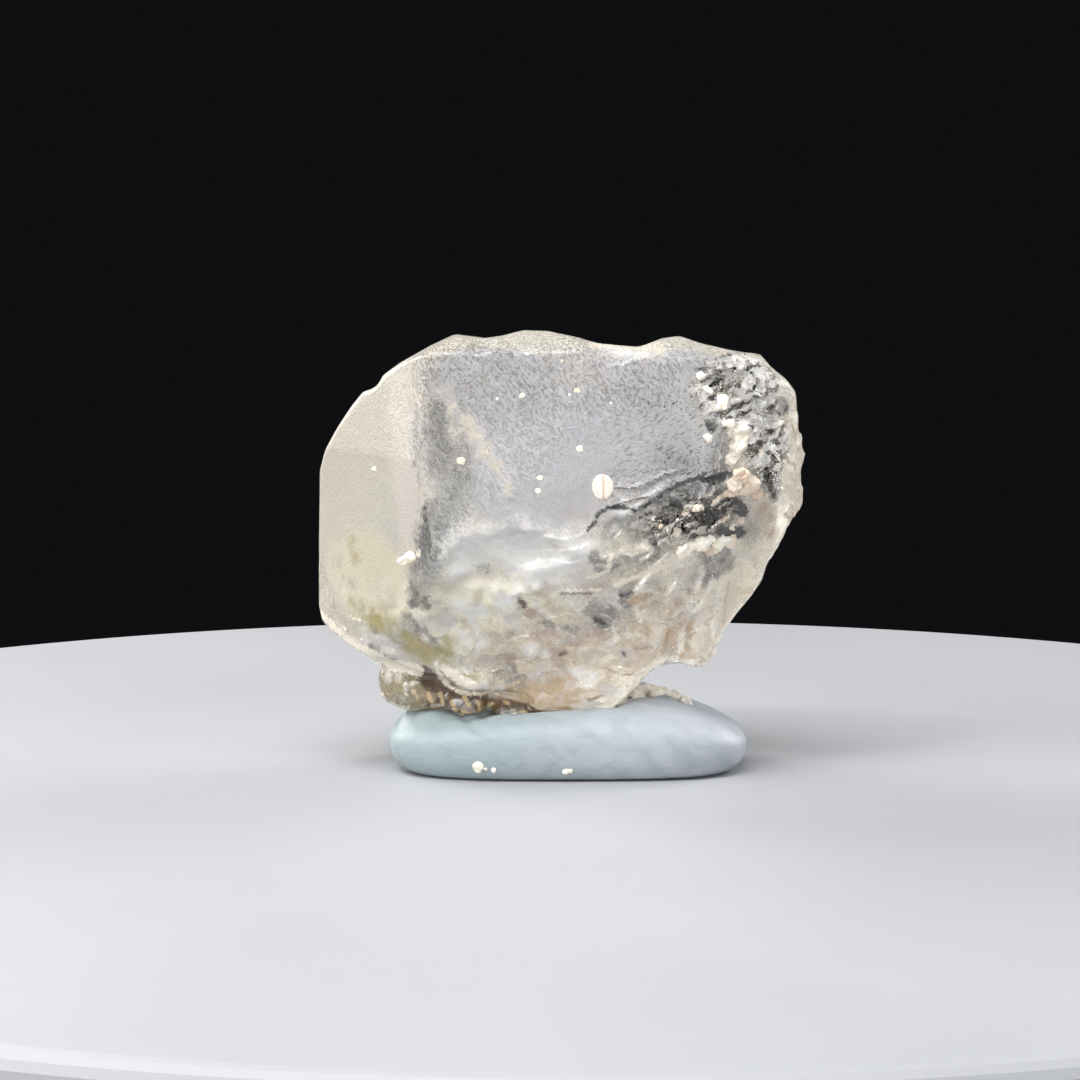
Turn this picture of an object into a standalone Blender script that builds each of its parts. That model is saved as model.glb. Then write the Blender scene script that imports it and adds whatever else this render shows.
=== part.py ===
"""A phenakite crystal held upright in a pat of display putty.

Lengths below are in millimetres. +Z is up, the viewer of the show face stands at -Y, +X is to that viewer's
right, and the origin is the centre of the putty's flat underside.
"""

import math

import bmesh
import bpy
from mathutils import Euler, Vector, noise
from mathutils.bvhtree import BVHTree

MM = 0.001

# The crystal's widest outline, seen from the show side, counted clockwise from its lower left corner.
OUTLINE = (
    (-9.98, 6.45), (-9.96, 8.9), (-9.9, 11.9), (-9.69, 12.7), (-9.2, 13.6), (-8.6, 14.5), (-8.15, 15.05),
    (-7.62, 15.2), (-7.36, 15.7), (-6.7, 16.18), (-5.5, 16.86), (-4.5, 17.33), (-3.3, 17.17), (-2.6, 17.27),
    (-1.8, 17.49), (-0.8, 17.45), (0.3, 17.22), (1.26, 16.94), (2.85, 16.82), (3.7, 17.16), (4.44, 17.26),
    (5.3, 16.95), (6.8, 16.62), (7.62, 16.54), (8.1, 15.98), (8.66, 15.55), (9.07, 15.03), (9.16, 13.7),
    (9.49, 12.4), (9.29, 12.07), (9.34, 10.9), (9.15, 10.2), (8.4, 8.86), (7.89, 8.06), (7.77, 7.5),
    (7.38, 6.9), (6.74, 6.12), (6.18, 5.3), (5.95, 4.5), (5.63, 4.02), (5.0, 3.93), (4.5, 4.18),
    (3.78, 4.1), (3.3, 3.77), (2.5, 2.9), (1.6, 2.1), (0.2, 1.75), (-1.1, 1.95), (-2.4, 2.75),
    (-4.4, 2.95), (-5.7, 3.3), (-6.75, 3.7), (-7.87, 4.26), (-8.75, 4.87), (-9.47, 5.35), (-9.86, 5.88),
)
# The side walls flare a little towards the back, as if all drawn from this point.
FLARE_POINT = Vector((-1.1, -119.3, 21.6))
# How far the walls draw in from that outline, towards its middle, at stations from the front to the back.
WALL_STATIONS = {-7.5: 0.55, -5.0: 0.15, -3.4: 0.0, -1.2: 0.0, 0.8: 0.0, 3.0: 0.45, 6.5: 1.3}
OUTLINE_MIDDLE = (-0.3, 9.8)
# The walls draw in by this share of the amount above, and waver round it by this much.
WALL_SHARE = 0.75
WALL_WAVER = 0.8
WALL_WAVE = Vector((0.6, 0.45, 0.6))

# The block that the flat faces are cut from, and the height of its middle.
BLOCK = 26.0
BLOCK_MIDDLE = 10.0

PUTTY_LENGTH = 14.3
PUTTY_DEPTH = 8.2
# The putty is highest at the crest, and falls to these heights at its left and right ends.
PUTTY_HEIGHT = 3.4
PUTTY_HEIGHT_LEFT = 2.8
PUTTY_HEIGHT_RIGHT = 2.5
PUTTY_CREST = 2.2
# The putty is widest at this share of its height. Its section is squarer below that level than above, and is
# cut off flat at the bottom.
PUTTY_WIDEST = 0.44
PUTTY_RISE = 0.56
PUTTY_DROP = 0.72
BLUNT_ABOVE = 2.2
BLUNT_BELOW = 2.9
# How square the pat is seen from above: 2 would be an ellipse.
BLUNT_PLAN = 3.2
PUTTY_SEGMENTS = 48
PUTTY_RINGS = 24
# The putty keeps this gap under the crystal, and this much clear beside it.
GAP = 0.3
CLEARANCE = 0.4
CLEARANCE_RAYS = 8

# Every flat face of the crystal: a point on it, how far its outward normal turns from the viewer towards
# the right, and how far that normal tilts up, both in degrees.
FACES = {
    "show face": ((-0.4, -5.2, 13.5), 6, 8),
    "show face wedge": ((-5.69, -5.72, 13.5), 1, 4),
    "left prism": ((-5.69, -5.75, 13.5), -49, 6),
    "left prism lower": ((-9.85, -0.9, 11.5), -49.4, -4),
    "lower left": ((-7.2, -2.8, 4.6), -42, -25),
    "under the chin": ((-7.2, -2.8, 4.42), -66, -53),
    "back left prism": ((-9.9, 0.9, 9.0), -122, 0),
    "upper left": ((-7.9, 0.2, 15.2), -140, 40),
    "top bevel": ((0.0, -4.75, 16.78), 6, 58),
    "top bevel right": ((5.6, -4.1, 16.4), 18, 54),
    "top": ((0.0, -3.1, 17.7), 176, 74),
    "top left": ((-4.5, -2.6, 17.5), -158, 66),
    "upper right": ((7.6, -2.2, 16.1), 62, 44),
    "right prism": ((7.4, -3.7, 12.0), 58, 2),
    "back right prism": ((9.3, 1.2, 12.0), 124, 4),
    "lower right": ((8.2, -1.5, 9.5), 63, -15),
    "lower front": ((-1.0, -5.8, 9.3), 5, -28),
    "lower front left": ((-5.9, -4.15, 6.0), -19, -28),
    "lower front right": ((4.75, -2.9, 7.43), 36, -24),
    "underside front": ((-1.0, -2.6, 2.9), -4, -62),
    "back face": ((0.0, 4.9, 12.0), 176, 9),
    "back upper": ((0.5, 3.6, 15.4), 187, 48),
    "back upper left": ((-6.5, 2.6, 13.4), -150, 24),
    "back upper right": ((6.6, 2.8, 13.8), 148, 26),
    "back lower": ((0.0, 4.2, 6.6), 172, -36),
    "back lower left": ((-7.6, 3.0, 6.2), -140, -26),
    "back lower right": ((5.2, 3.2, 7.0), 142, -30),
    "underside back": ((0.0, 2.4, 2.6), 176, -64),
}

# Shell-shaped chips, each the bite of an ellipsoid: centre, radii, and its turn about X, Y and Z.
CHIPS = {
    "top notch": ((2.1, -5.6, 17.35), (2.1, 2.0, 1.0), (0, 0, 0)),
    "top dent": ((-3.3, -5.7, 17.5), (1.3, 1.9, 0.75), (0, 0, 0)),
    "ledge": ((4.2, -6.0, 10.95), (3.1, 1.45, 0.62), (0, -17, 0)),
    "dark hollow": ((5.35, -5.5, 10.1), (2.1, 1.75, 0.8), (0, -20, 0)),
    "dark hollow left": ((2.7, -6.1, 9.7), (1.8, 1.35, 0.7), (0, -16, 0)),
    "scallop": ((-2.1, -7.5, 8.7), (3.1, 2.75, 1.55), (0, 6, 0)),
    "scallop right": ((1.5, -6.9, 7.8), (1.9, 2.1, 1.0), (0, -12, 0)),
    "lower dish": ((2.6, -5.3, 5.3), (2.4, 2.0, 1.3), (0, -32, 0)),
    "lower dish left": ((-0.9, -6.0, 5.6), (2.0, 2.0, 1.0), (0, 14, 0)),
    "lower step": ((-4.2, -5.7, 6.2), (2.1, 1.5, 0.8), (0, 26, 0)),
    "trough": ((6.5, -5.0, 13.4), (0.75, 1.25, 2.3), (0, 14, 0)),
    "pitted corner": ((6.6, -5.7, 15.2), (1.5, 1.9, 1.15), (0, 12, 0)),
    "rim facet": ((9.6, -3.6, 14.3), (1.1, 2.2, 1.5), (0, 0, 20)),
    "rim facet low": ((8.8, -3.5, 8.3), (1.3, 2.2, 1.9), (0, 25, 10)),
    "behind the chin": ((-6.7, -3.0, 3.1), (2.4, 1.9, 1.2), (0, 26, 0)),
    "under the lip": ((-3.5, -4.6, 2.3), (3.4, 3.7, 1.5), (0, 19, 0)),
    "back scar": ((3.0, 7.6, 8.8), (4.6, 4.0, 4.0), (0, 0, 12)),
    "back scar low": ((-3.4, 6.4, 5.2), (3.4, 3.4, 2.6), (0, 14, 0)),
    "back chip": ((-4.6, 6.0, 14.2), (2.4, 2.2, 1.4), (0, -30, 0)),
    "right chip": ((10.2, 2.6, 12.6), (1.6, 2.4, 2.2), (0, 0, 0)),
    "left chip": ((-11.0, 2.4, 13.2), (1.7, 2.4, 1.5), (0, 0, 0)),
}

# A chip's rim wavers: how tall its surface's waves are, as a share of its radius, and how close together.
CHIP_WAVES = ((0.24, 1.5), (0.10, 3.6))

# Lumps grown onto the underside: centre, radii, turn about X, Y and Z, and ribs round each.
OUTGROWTHS = {
    "foot crystal": ((-6.2, -1.4, 3.5), (1.55, 1.35, 1.1), (0, 10, -12), 7),
    "foot crystal twin": ((-5.0, -1.3, 3.2), (1.0, 1.1, 0.8), (0, -6, 20), 6),
    "brown lump left": ((-4.1, -1.6, 2.85), (0.95, 1.0, 0.62), (0, 0, 10), 8),
    "brown lump right": ((-2.1, -1.4, 2.6), (1.1, 1.1, 0.52), (0, 4, 0), 8),
    "lip": ((-4.1, -3.1, 4.15), (1.3, 0.75, 0.5), (0, 27, 0), 16),
}

# The grooves between those ribs lie at this share of a lump's radius.
GROOVE = 0.92

# Broken ground: centre, radii, then the grain and the height of its relief.
ROUGH_GROUND = {
    "lower fracture": ((0.0, -3.6, 6.0), (8.5, 3.6, 3.6), 2.3, 0.16),
    "scallop edge": ((-1.5, -5.4, 8.8), (4.6, 1.5, 2.0), 1.3, 0.12),
    "ledges": ((4.4, -4.8, 10.4), (4.0, 1.8, 1.6), 0.75, 0.22),
    "pitted corner": ((7.0, -3.8, 15.0), (2.1, 2.6, 1.9), 0.62, 0.30),
    "trough": ((6.9, -4.2, 12.9), (1.4, 1.8, 2.4), 0.7, 0.20),
    "hook": ((5.0, -1.6, 5.0), (2.0, 2.2, 2.2), 0.8, 0.12),
    "back fracture": ((0.0, 4.6, 6.8), (9.0, 3.2, 4.2), 1.6, 0.20),
    "right wall": ((8.9, 0.6, 10.5), (1.6, 3.2, 5.0), 1.2, 0.10),
    "underside": ((-1.5, 0.0, 2.4), (8.0, 4.0, 1.6), 1.1, 0.14),
}

# The relief fades out over this share of the way in from the edge of its ground.
FADE = 0.35
# Its ridges run level and fall to the right: how much closer they lie up the crystal, and their fall.
RIDGE_CLOSENESS = 1.6
RIDGE_FALL = 0.5
# The level its ridges stand round, and the height and closeness of the finer waves on them.
RIDGE_LEVEL = 0.75
FINE_SHARE = 0.5
FINE_CLOSENESS = 2.3

# Fine upright ribs down the hook at the lower right: centre, radii, spacing and height.
HOOK_RIBS = ((5.2, -1.9, 5.2), (1.7, 1.6, 1.5), 0.55, 0.09)
HOOK_RIB_LEAN = 0.12

# The even skin's grain while the relief is put on, and the triangles that are left of it.
SKIN = 0.17
CRYSTAL_TRIANGLES = 7600

CRYSTAL_LOOK = ((0.86, 0.82, 0.70, 1.0), 0.25, 0.0)
PUTTY_LOOK = ((0.62, 0.72, 0.78, 1.0), 0.75, 0.0)


def clear_scene():
    for thing in list(bpy.data.objects):
        bpy.data.objects.remove(thing, do_unlink=True)


def new_collection(name, hidden=False):
    collection = bpy.data.collections.new(name)
    bpy.context.scene.collection.children.link(collection)
    collection.hide_render = hidden
    return collection


def material(name, look):
    colour, roughness, metallic = look
    made = bpy.data.materials.new(name)
    made.use_nodes = True
    shader = made.node_tree.nodes["Principled BSDF"]
    shader.inputs["Base Color"].default_value = colour
    shader.inputs["Roughness"].default_value = roughness
    shader.inputs["Metallic"].default_value = metallic
    return made


def object_from(bm, name, collection, cutter=False):
    mesh = bpy.data.meshes.new(name)
    bm.to_mesh(mesh)
    bm.free()
    made = bpy.data.objects.new(name, mesh)
    collection.objects.link(made)
    if cutter:
        made.hide_render = True
        made.display_type = "WIRE"
    return made


def outward(turn, tilt):
    """The unit vector that turns from the viewer towards the right and tilts up by these degrees."""
    a, b = math.radians(turn), math.radians(tilt)
    return Vector((math.sin(a) * math.cos(b), -math.cos(a) * math.cos(b), math.sin(b)))


def angles(degrees):
    return Euler([math.radians(d) for d in degrees]).to_matrix()


def wall_point(x, z, y, inset):
    """A point of the side walls at station y, drawn in towards the crystal's middle."""
    flared = FLARE_POINT + (Vector((x, 0.0, z)) - FLARE_POINT) * (y - FLARE_POINT.y) / -FLARE_POINT.y
    middle = Vector((OUTLINE_MIDDLE[0], y, OUTLINE_MIDDLE[1]))
    ragged = inset * (WALL_SHARE + WALL_WAVER * noise.noise(Vector((x, y, z)) * WALL_WAVE))
    return (flared + (middle - flared).normalized() * ragged) * MM


def side_walls(collection):
    """A prism of the crystal's outline, whose walls draw in towards the front and the back."""
    stations = sorted(WALL_STATIONS.items())
    bm = bmesh.new()
    first_y, first_inset = stations[0]
    ring = [bm.verts.new(wall_point(x, z, first_y, first_inset)) for x, z in OUTLINE]
    front = cap = bm.faces.new(ring)
    for y, inset in stations[1:]:
        grown = bmesh.ops.extrude_face_region(bm, geom=[cap])["geom"]
        if cap != front:
            bmesh.ops.delete(bm, geom=[cap], context="FACES_ONLY")
        cap = next(g for g in grown if isinstance(g, bmesh.types.BMFace))
        for loop, (x, z) in zip(cap.loops, OUTLINE):
            loop.vert.co = wall_point(x, z, y, inset)
    bmesh.ops.recalc_face_normals(bm, faces=bm.faces)
    return object_from(bm, "side walls", collection, cutter=True)


def faceted_block(collection):
    """A block cut by the crystal's flat faces, one after another."""
    bm = bmesh.new()
    bmesh.ops.create_cube(bm, size=BLOCK * MM)
    bmesh.ops.translate(bm, vec=Vector((0.0, 0.0, BLOCK_MIDDLE)) * MM, verts=bm.verts)
    for point, turn, tilt in FACES.values():
        cut = bmesh.ops.bisect_plane(
            bm,
            geom=bm.verts[:] + bm.edges[:] + bm.faces[:],
            plane_co=Vector(point) * MM,
            plane_no=outward(turn, tilt),
            clear_outer=True,
            dist=1e-7,
        )
        rim = [g for g in cut["geom_cut"] if isinstance(g, bmesh.types.BMEdge)]
        if rim:
            bmesh.ops.edgeloop_fill(bm, edges=rim)
    bmesh.ops.recalc_face_normals(bm, faces=bm.faces)
    return object_from(bm, "phenakite_crystal", collection)


def bite(name, centre, radii, turned, collection):
    """A lumpy ellipsoid, so that the chip it leaves has an uneven rim."""
    bm = bmesh.new()
    bmesh.ops.create_icosphere(bm, subdivisions=4, radius=1.0)
    shift = Vector((centre[0], centre[2], centre[1]))
    for vert in bm.verts:
        vert.co *= 1.0 + sum(tall * noise.noise(vert.co * close + shift) for tall, close in CHIP_WAVES)
    bmesh.ops.scale(bm, vec=Vector(radii) * MM, verts=bm.verts)
    bmesh.ops.rotate(bm, matrix=angles(turned), verts=bm.verts)
    bmesh.ops.translate(bm, vec=Vector(centre) * MM, verts=bm.verts)
    return object_from(bm, name, collection, cutter=True)


def ribbed_lump(name, centre, radii, turned, ribs, collection):
    """A blunt little crystal with flat ribs down its sides."""
    bm = bmesh.new()
    bmesh.ops.create_uvsphere(bm, u_segments=2 * ribs, v_segments=8, radius=1.0)
    for vert in bm.verts:
        step = round(math.atan2(vert.co.y, vert.co.x) / math.pi * ribs)
        if step % 2:
            vert.co.x *= GROOVE
            vert.co.y *= GROOVE
    bmesh.ops.scale(bm, vec=Vector(radii) * MM, verts=bm.verts)
    bmesh.ops.rotate(bm, matrix=angles(turned), verts=bm.verts)
    bmesh.ops.translate(bm, vec=Vector(centre) * MM, verts=bm.verts)
    return object_from(bm, name, collection, cutter=True)


def replaced_by(target, kind, **settings):
    """Gives the target the mesh that one modifier leaves."""
    step = target.modifiers.new(kind.lower(), kind)
    for name, value in settings.items():
        setattr(step, name, value)
    bpy.context.view_layer.update()
    graph = bpy.context.evaluated_depsgraph_get()
    mesh = bpy.data.meshes.new_from_object(target.evaluated_get(graph))
    target.modifiers.clear()
    target.data = mesh


def combine(target, tools, operation):
    """Gives the target the mesh that a Boolean with every tool in turn leaves."""
    for tool in tools:
        replaced_by(target, "BOOLEAN", operation=operation, object=tool)


def within(point, centre, radii):
    """1 well inside an ellipsoid, 0 outside it, smooth between."""
    reach = Vector([(p - c) / r for p, c, r in zip(point, centre, radii)]).length
    t = min(max((1.0 - reach) / FADE, 0.0), 1.0)
    return t * t * (3 - 2 * t)


def relief(point):
    """How far broken ground stands in or out at a point of the crystal."""
    height = 0.0
    for centre, radii, grain, tall in ROUGH_GROUND.values():
        share = within(point, centre, radii)
        if share > 0:
            up = point.z * RIDGE_CLOSENESS - point.x * RIDGE_FALL
            there = Vector((point.x, point.y, up)) / grain
            ridges = 1.0 - 2.0 * abs(noise.noise(there))
            fine = FINE_SHARE * noise.noise(there * FINE_CLOSENESS)
            height += share * tall * (ridges - RIDGE_LEVEL + fine)
    centre, radii, spacing, tall = HOOK_RIBS
    ribs = abs(math.sin(math.pi * (point.x - HOOK_RIB_LEAN * point.z) / spacing))
    return height - within(point, centre, radii) * tall * ribs


def break_surface(crystal):
    """Gives the crystal's broken ground its relief, on an even skin that is thinned out afterwards."""
    replaced_by(crystal, "REMESH", mode="VOXEL", voxel_size=SKIN * MM)
    bm = bmesh.new()
    bm.from_mesh(crystal.data)
    bm.normal_update()
    moves = [(vert, vert.normal * relief(vert.co / MM) * MM) for vert in bm.verts]
    for vert, move in moves:
        vert.co += move
    bmesh.ops.triangulate(bm, faces=bm.faces)
    share = CRYSTAL_TRIANGLES / len(bm.faces)
    bm.to_mesh(crystal.data)
    bm.free()
    replaced_by(crystal, "DECIMATE", decimate_type="COLLAPSE", ratio=share)


def build_crystal(collection, cutters):
    crystal = faceted_block(collection)
    combine(crystal, [side_walls(cutters)], "INTERSECT")
    chips = [bite(n, c, r, t, cutters) for n, (c, r, t) in CHIPS.items()]
    combine(crystal, chips, "DIFFERENCE")
    lumps = [ribbed_lump(n, c, r, t, k, cutters) for n, (c, r, t, k) in OUTGROWTHS.items()]
    combine(crystal, lumps, "UNION")
    break_surface(crystal)
    crystal.data.materials.clear()
    crystal.data.materials.append(material("frosted phenakite", CRYSTAL_LOOK))
    return crystal


def putty_height(x):
    """The height of the pat's top at x: low on the left, highest right of the middle."""
    if x < PUTTY_CREST:
        end, reach = PUTTY_HEIGHT_LEFT, PUTTY_LENGTH / 2 + PUTTY_CREST
    else:
        end, reach = PUTTY_HEIGHT_RIGHT, PUTTY_LENGTH / 2 - PUTTY_CREST
    return PUTTY_HEIGHT + (end - PUTTY_HEIGHT) * min(abs(x - PUTTY_CREST) / reach, 1.0)


def blunted(a, b, power):
    """The factor that takes the point (a, b) of a circle out onto a squarer oval of the same reach."""
    return (abs(a) ** power + abs(b) ** power) ** (-1.0 / power)


def build_putty(collection, crystal):
    """A flattened roll of putty, pressed down wherever the crystal stands in it."""
    bm = bmesh.new()
    bmesh.ops.create_uvsphere(bm, u_segments=PUTTY_SEGMENTS, v_segments=PUTTY_RINGS, radius=1.0)
    for vert in bm.verts:
        out, up = math.hypot(vert.co.x, vert.co.y), vert.co.z
        swell = blunted(out, up, BLUNT_ABOVE if up > 0 else BLUNT_BELOW)
        wide = swell * blunted(vert.co.x / out, vert.co.y / out, BLUNT_PLAN) if out > 1e-6 else 0.0
        x = vert.co.x * wide * PUTTY_LENGTH / 2
        level = PUTTY_WIDEST + up * swell * (PUTTY_RISE if up > 0 else PUTTY_DROP)
        z = max(level * putty_height(x), 0.0)
        vert.co = Vector((x, vert.co.y * wide * PUTTY_DEPTH / 2, z)) * MM
    bmesh.ops.remove_doubles(bm, verts=bm.verts, dist=0.01 * MM)
    bmesh.ops.recalc_face_normals(bm, faces=bm.faces)
    press_down(bm, crystal)
    putty = object_from(bm, "putty_pat", collection)
    putty.data.materials.append(material("display putty", PUTTY_LOOK))
    return putty


def press_down(bm, crystal):
    """Lowers the putty under the crystal, and close around it, until it clears it by the gap."""
    stone = bmesh.new()
    stone.from_mesh(crystal.data)
    tree = BVHTree.FromBMesh(stone)
    stone.free()
    turns = [i * math.tau / CLEARANCE_RAYS for i in range(CLEARANCE_RAYS)]
    steps = [Vector()] + [Vector((math.cos(a), math.sin(a), 0)) * CLEARANCE * MM for a in turns]
    for vert in bm.verts:
        below = Vector((vert.co.x, vert.co.y, -MM))
        hits = [tree.ray_cast(below + step, Vector((0, 0, 1)))[0] for step in steps]
        heights = [hit.z for hit in hits if hit]
        if heights:
            vert.co.z = min(vert.co.z, max(min(heights) - GAP * MM, 0.0))


def main():
    clear_scene()
    parts = new_collection("phenakite")
    cutters = new_collection("cutters", hidden=True)
    crystal = build_crystal(parts, cutters)
    build_putty(parts, crystal)


main()
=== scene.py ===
# %% [markdown]
# # A phenakite crystal stood in a pat of putty
# Phenakite is a hard, clear beryllium mineral. This crystal is pale straw and about 19 mm wide. Its flat
# growth faces are finely etched, so they look like frosted glass, and where it broke it shows
# shell-shaped chips, dark glassy ledges and a pitted corner packed with white clay. It stands in a pat of
# soft blue display putty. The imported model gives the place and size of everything, so it is loaded first
# and left as it is.

# %% The frame
import math

import bmesh
import bpy
from mathutils import Matrix, Vector, geometry, noise
from mathutils.bvhtree import BVHTree
from mathutils.kdtree import KDTree


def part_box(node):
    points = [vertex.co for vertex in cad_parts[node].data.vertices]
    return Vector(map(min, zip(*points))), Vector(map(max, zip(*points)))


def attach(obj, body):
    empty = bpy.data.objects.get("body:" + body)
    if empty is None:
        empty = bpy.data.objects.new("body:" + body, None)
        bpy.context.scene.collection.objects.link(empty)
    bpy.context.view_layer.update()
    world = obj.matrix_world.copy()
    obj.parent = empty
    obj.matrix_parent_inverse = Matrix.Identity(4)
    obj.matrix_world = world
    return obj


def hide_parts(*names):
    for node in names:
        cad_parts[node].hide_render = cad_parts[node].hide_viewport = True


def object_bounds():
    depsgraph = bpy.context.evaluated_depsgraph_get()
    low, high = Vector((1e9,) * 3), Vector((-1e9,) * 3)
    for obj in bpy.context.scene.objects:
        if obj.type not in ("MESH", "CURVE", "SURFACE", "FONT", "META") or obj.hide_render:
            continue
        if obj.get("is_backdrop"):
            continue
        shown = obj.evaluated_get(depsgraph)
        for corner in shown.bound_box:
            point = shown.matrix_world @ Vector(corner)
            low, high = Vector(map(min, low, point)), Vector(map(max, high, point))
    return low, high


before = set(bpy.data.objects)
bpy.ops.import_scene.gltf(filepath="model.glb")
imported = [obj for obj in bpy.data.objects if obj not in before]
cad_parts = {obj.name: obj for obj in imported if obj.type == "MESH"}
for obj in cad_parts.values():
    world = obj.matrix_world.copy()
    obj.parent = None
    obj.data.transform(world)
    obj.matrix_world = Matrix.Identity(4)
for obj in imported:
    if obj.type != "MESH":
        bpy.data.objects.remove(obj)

MM = 0.001
# Without a seed, noise.noise_vector gives other values in every run.
NOISE_SEED = 7
noise.seed_set(NOISE_SEED)
cad_box = [list(corner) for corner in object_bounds()]
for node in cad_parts:
    low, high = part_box(node)
    print(node, "runs from", [round(v / MM, 1) for v in low], "to", [round(v / MM, 1) for v in high], "mm")

# %% [markdown]
# ## The camera
# A long lens a hand's length away sees the crystal almost without perspective. It looks slightly down, so
# the top of the putty shows as a thin ellipse. `face_along` turns any object so that its -Z axis points
# where it should, which serves lamps too.

# %% The camera
AIM = Vector((-1.12, 0.0, 9.106)) * MM
CAMERA_DISTANCE = 120.0
CAMERA_RISE = 6.0


def face_along(thing, direction):
    thing.rotation_euler = direction.to_track_quat("-Z", "Y").to_euler()


def around(azimuth, rise):
    """The unit vector from the crystal towards this bearing: 0 is the viewer's side and 90 the right."""
    a, b = math.radians(azimuth), math.radians(rise)
    return Vector((math.sin(a) * math.cos(b), -math.cos(a) * math.cos(b), math.sin(b)))


lens = bpy.data.cameras.new("camera")
lens.lens = 100.0
lens.sensor_width = 36.0
lens.clip_start = 1.0 * MM
camera = bpy.data.objects.new("camera", lens)
camera.location = AIM + around(0, CAMERA_RISE) * CAMERA_DISTANCE * MM
face_along(camera, AIM - camera.location)
bpy.context.scene.collection.objects.link(camera)
bpy.context.scene.camera = camera
print("camera at", [round(v / MM, 1) for v in camera.location], "mm")

# %% [markdown]
# ## The shader helpers
# Procedural finishes are sums of masks and noises. `Wire` wraps a socket so that such sums can be written
# as plain Python, and `Finish` owns one material and makes every node with one method. Positions are
# turned to millimetres at once, so every number in a finish is a length that could be measured on the
# crystal.

# %% Wires and finishes


def paint(red, green, blue):
    """A linear colour from the 0 to 255 values that a colour picker shows."""
    shares = [v / 255 for v in (red, green, blue)]
    return (*[s / 12.92 if s <= 0.04045 else ((s + 0.055) / 1.055) ** 2.4 for s in shares], 1.0)


class Wire:
    """A socket that takes part in sums: each sign adds one Math node."""

    def __init__(self, finish, socket):
        self.finish, self.socket = finish, socket

    def __add__(self, other):
        return self.finish.maths("ADD", self, other)

    def __sub__(self, other):
        return self.finish.maths("SUBTRACT", self, other)

    def __mul__(self, other):
        return self.finish.maths("MULTIPLY", self, other)

    def __rsub__(self, other):
        return self.finish.maths("SUBTRACT", other, self)

    __radd__ = __add__
    __rmul__ = __mul__


class Finish:
    """One material, and the ways of making its nodes."""

    def __init__(self, name):
        self.material = bpy.data.materials.new(name)
        self.material.use_nodes = True
        self.tree = self.material.node_tree
        self.tree.nodes.clear()
        spot = self.node("ShaderNodeTexCoord").outputs["Object"]
        self.at = self.vector("SCALE", Wire(self, spot), Scale=1 / MM)

    def node(self, kind, settings=None, inputs=None):
        made = self.tree.nodes.new(kind)
        for name, value in (settings or {}).items():
            setattr(made, name, value)
        for key, value in (inputs or {}).items():
            if isinstance(value, Wire):
                self.tree.links.new(value.socket, made.inputs[key])
            else:
                made.inputs[key].default_value = value
        return made

    def painted(self, name):
        """Three numbers painted on the vertices of the mesh."""
        made = self.node("ShaderNodeAttribute", {"attribute_name": name})
        return Wire(self, made.outputs["Vector"])

    def maths(self, operation, *values):
        made = self.node("ShaderNodeMath", {"operation": operation}, dict(enumerate(values)))
        return Wire(self, made.outputs[0])

    def vector(self, operation, *values, **named):
        inputs = {**dict(enumerate(values)), **named}
        made = self.node("ShaderNodeVectorMath", {"operation": operation}, inputs)
        return Wire(self, made.outputs["Vector"])

    def split(self, wire):
        made = self.node("ShaderNodeSeparateXYZ", None, {0: wire})
        return [Wire(self, out) for out in made.outputs]

    def ramp(self, wire, start, end):
        """0 before start and 1 past end, smooth between; start may be the larger."""
        ends = {"From Min": start, "From Max": end}
        made = self.node("ShaderNodeMapRange", {"interpolation_type": "SMOOTHSTEP"}, {"Value": wire, **ends})
        return Wire(self, made.outputs[0])

    def seen_from(self, at, centre, size, turn=(0, 0, 0)):
        """The position counted from a centre, along turned axes, in units of the size."""
        turned = Vector([math.radians(d) for d in turn])
        made = self.node(
            "ShaderNodeMapping",
            {"vector_type": "TEXTURE"},
            {"Vector": at, "Location": Vector(centre), "Rotation": turned, "Scale": Vector(size)},
        )
        return Wire(self, made.outputs[0])

    def grain(self, at, size, turn=(0, 0, 0), detail=2.0, shift=0.0):
        """Cloudy noise from 0 to 1, whose clouds have about this size along turned axes."""
        there = self.seen_from(at, (shift, shift, shift), size, turn)
        made = self.node("ShaderNodeTexNoise", None, {"Vector": there, "Scale": 1.0, "Detail": detail})
        return Wire(self, made.outputs[0])

    def cells(self, at, size, turn=(0, 0, 0), shift=0.0):
        """A number from 0 to 1 for each of the angular cells that fill the ground."""
        there = self.seen_from(at, (shift, shift, shift), size, turn)
        made = self.node("ShaderNodeTexVoronoi", None, {"Vector": there, "Scale": 1.0})
        return self.split(Wire(self, made.outputs["Color"]))[0]

    def warped(self, at, amount, size):
        """The position pushed about, so that whatever reads it gets a ragged edge."""
        there = self.seen_from(at, (0, 0, 0), (size, size, size))
        clouds = self.node("ShaderNodeTexNoise", None, {"Vector": there, "Scale": 1.0, "Detail": 1.0})
        push = self.vector("SUBTRACT", Wire(self, clouds.outputs["Color"]), (0.5, 0.5, 0.5))
        return self.vector("ADD", at, self.vector("SCALE", push, Scale=amount))

    def blend(self, under, over, share):
        """One colour laid over another."""
        made = self.node("ShaderNodeMix", {"data_type": "RGBA"}, {0: share, 6: under, 7: over})
        return Wire(self, made.outputs[2])

    def bump(self, height, distance):
        made = self.node("ShaderNodeBump", None, {"Height": height, "Distance": distance, "Strength": 1.0})
        return Wire(self, made.outputs[0])

    def principled(self, **named):
        inputs = {name.replace("_", " "): value for name, value in named.items()}
        return Wire(self, self.node("ShaderNodeBsdfPrincipled", None, inputs).outputs[0])

    def output(self, surface, volume=None):
        ends = {"Surface": surface, **({"Volume": volume} if volume else {})}
        self.node("ShaderNodeOutputMaterial", None, ends)
        return self.material

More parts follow.
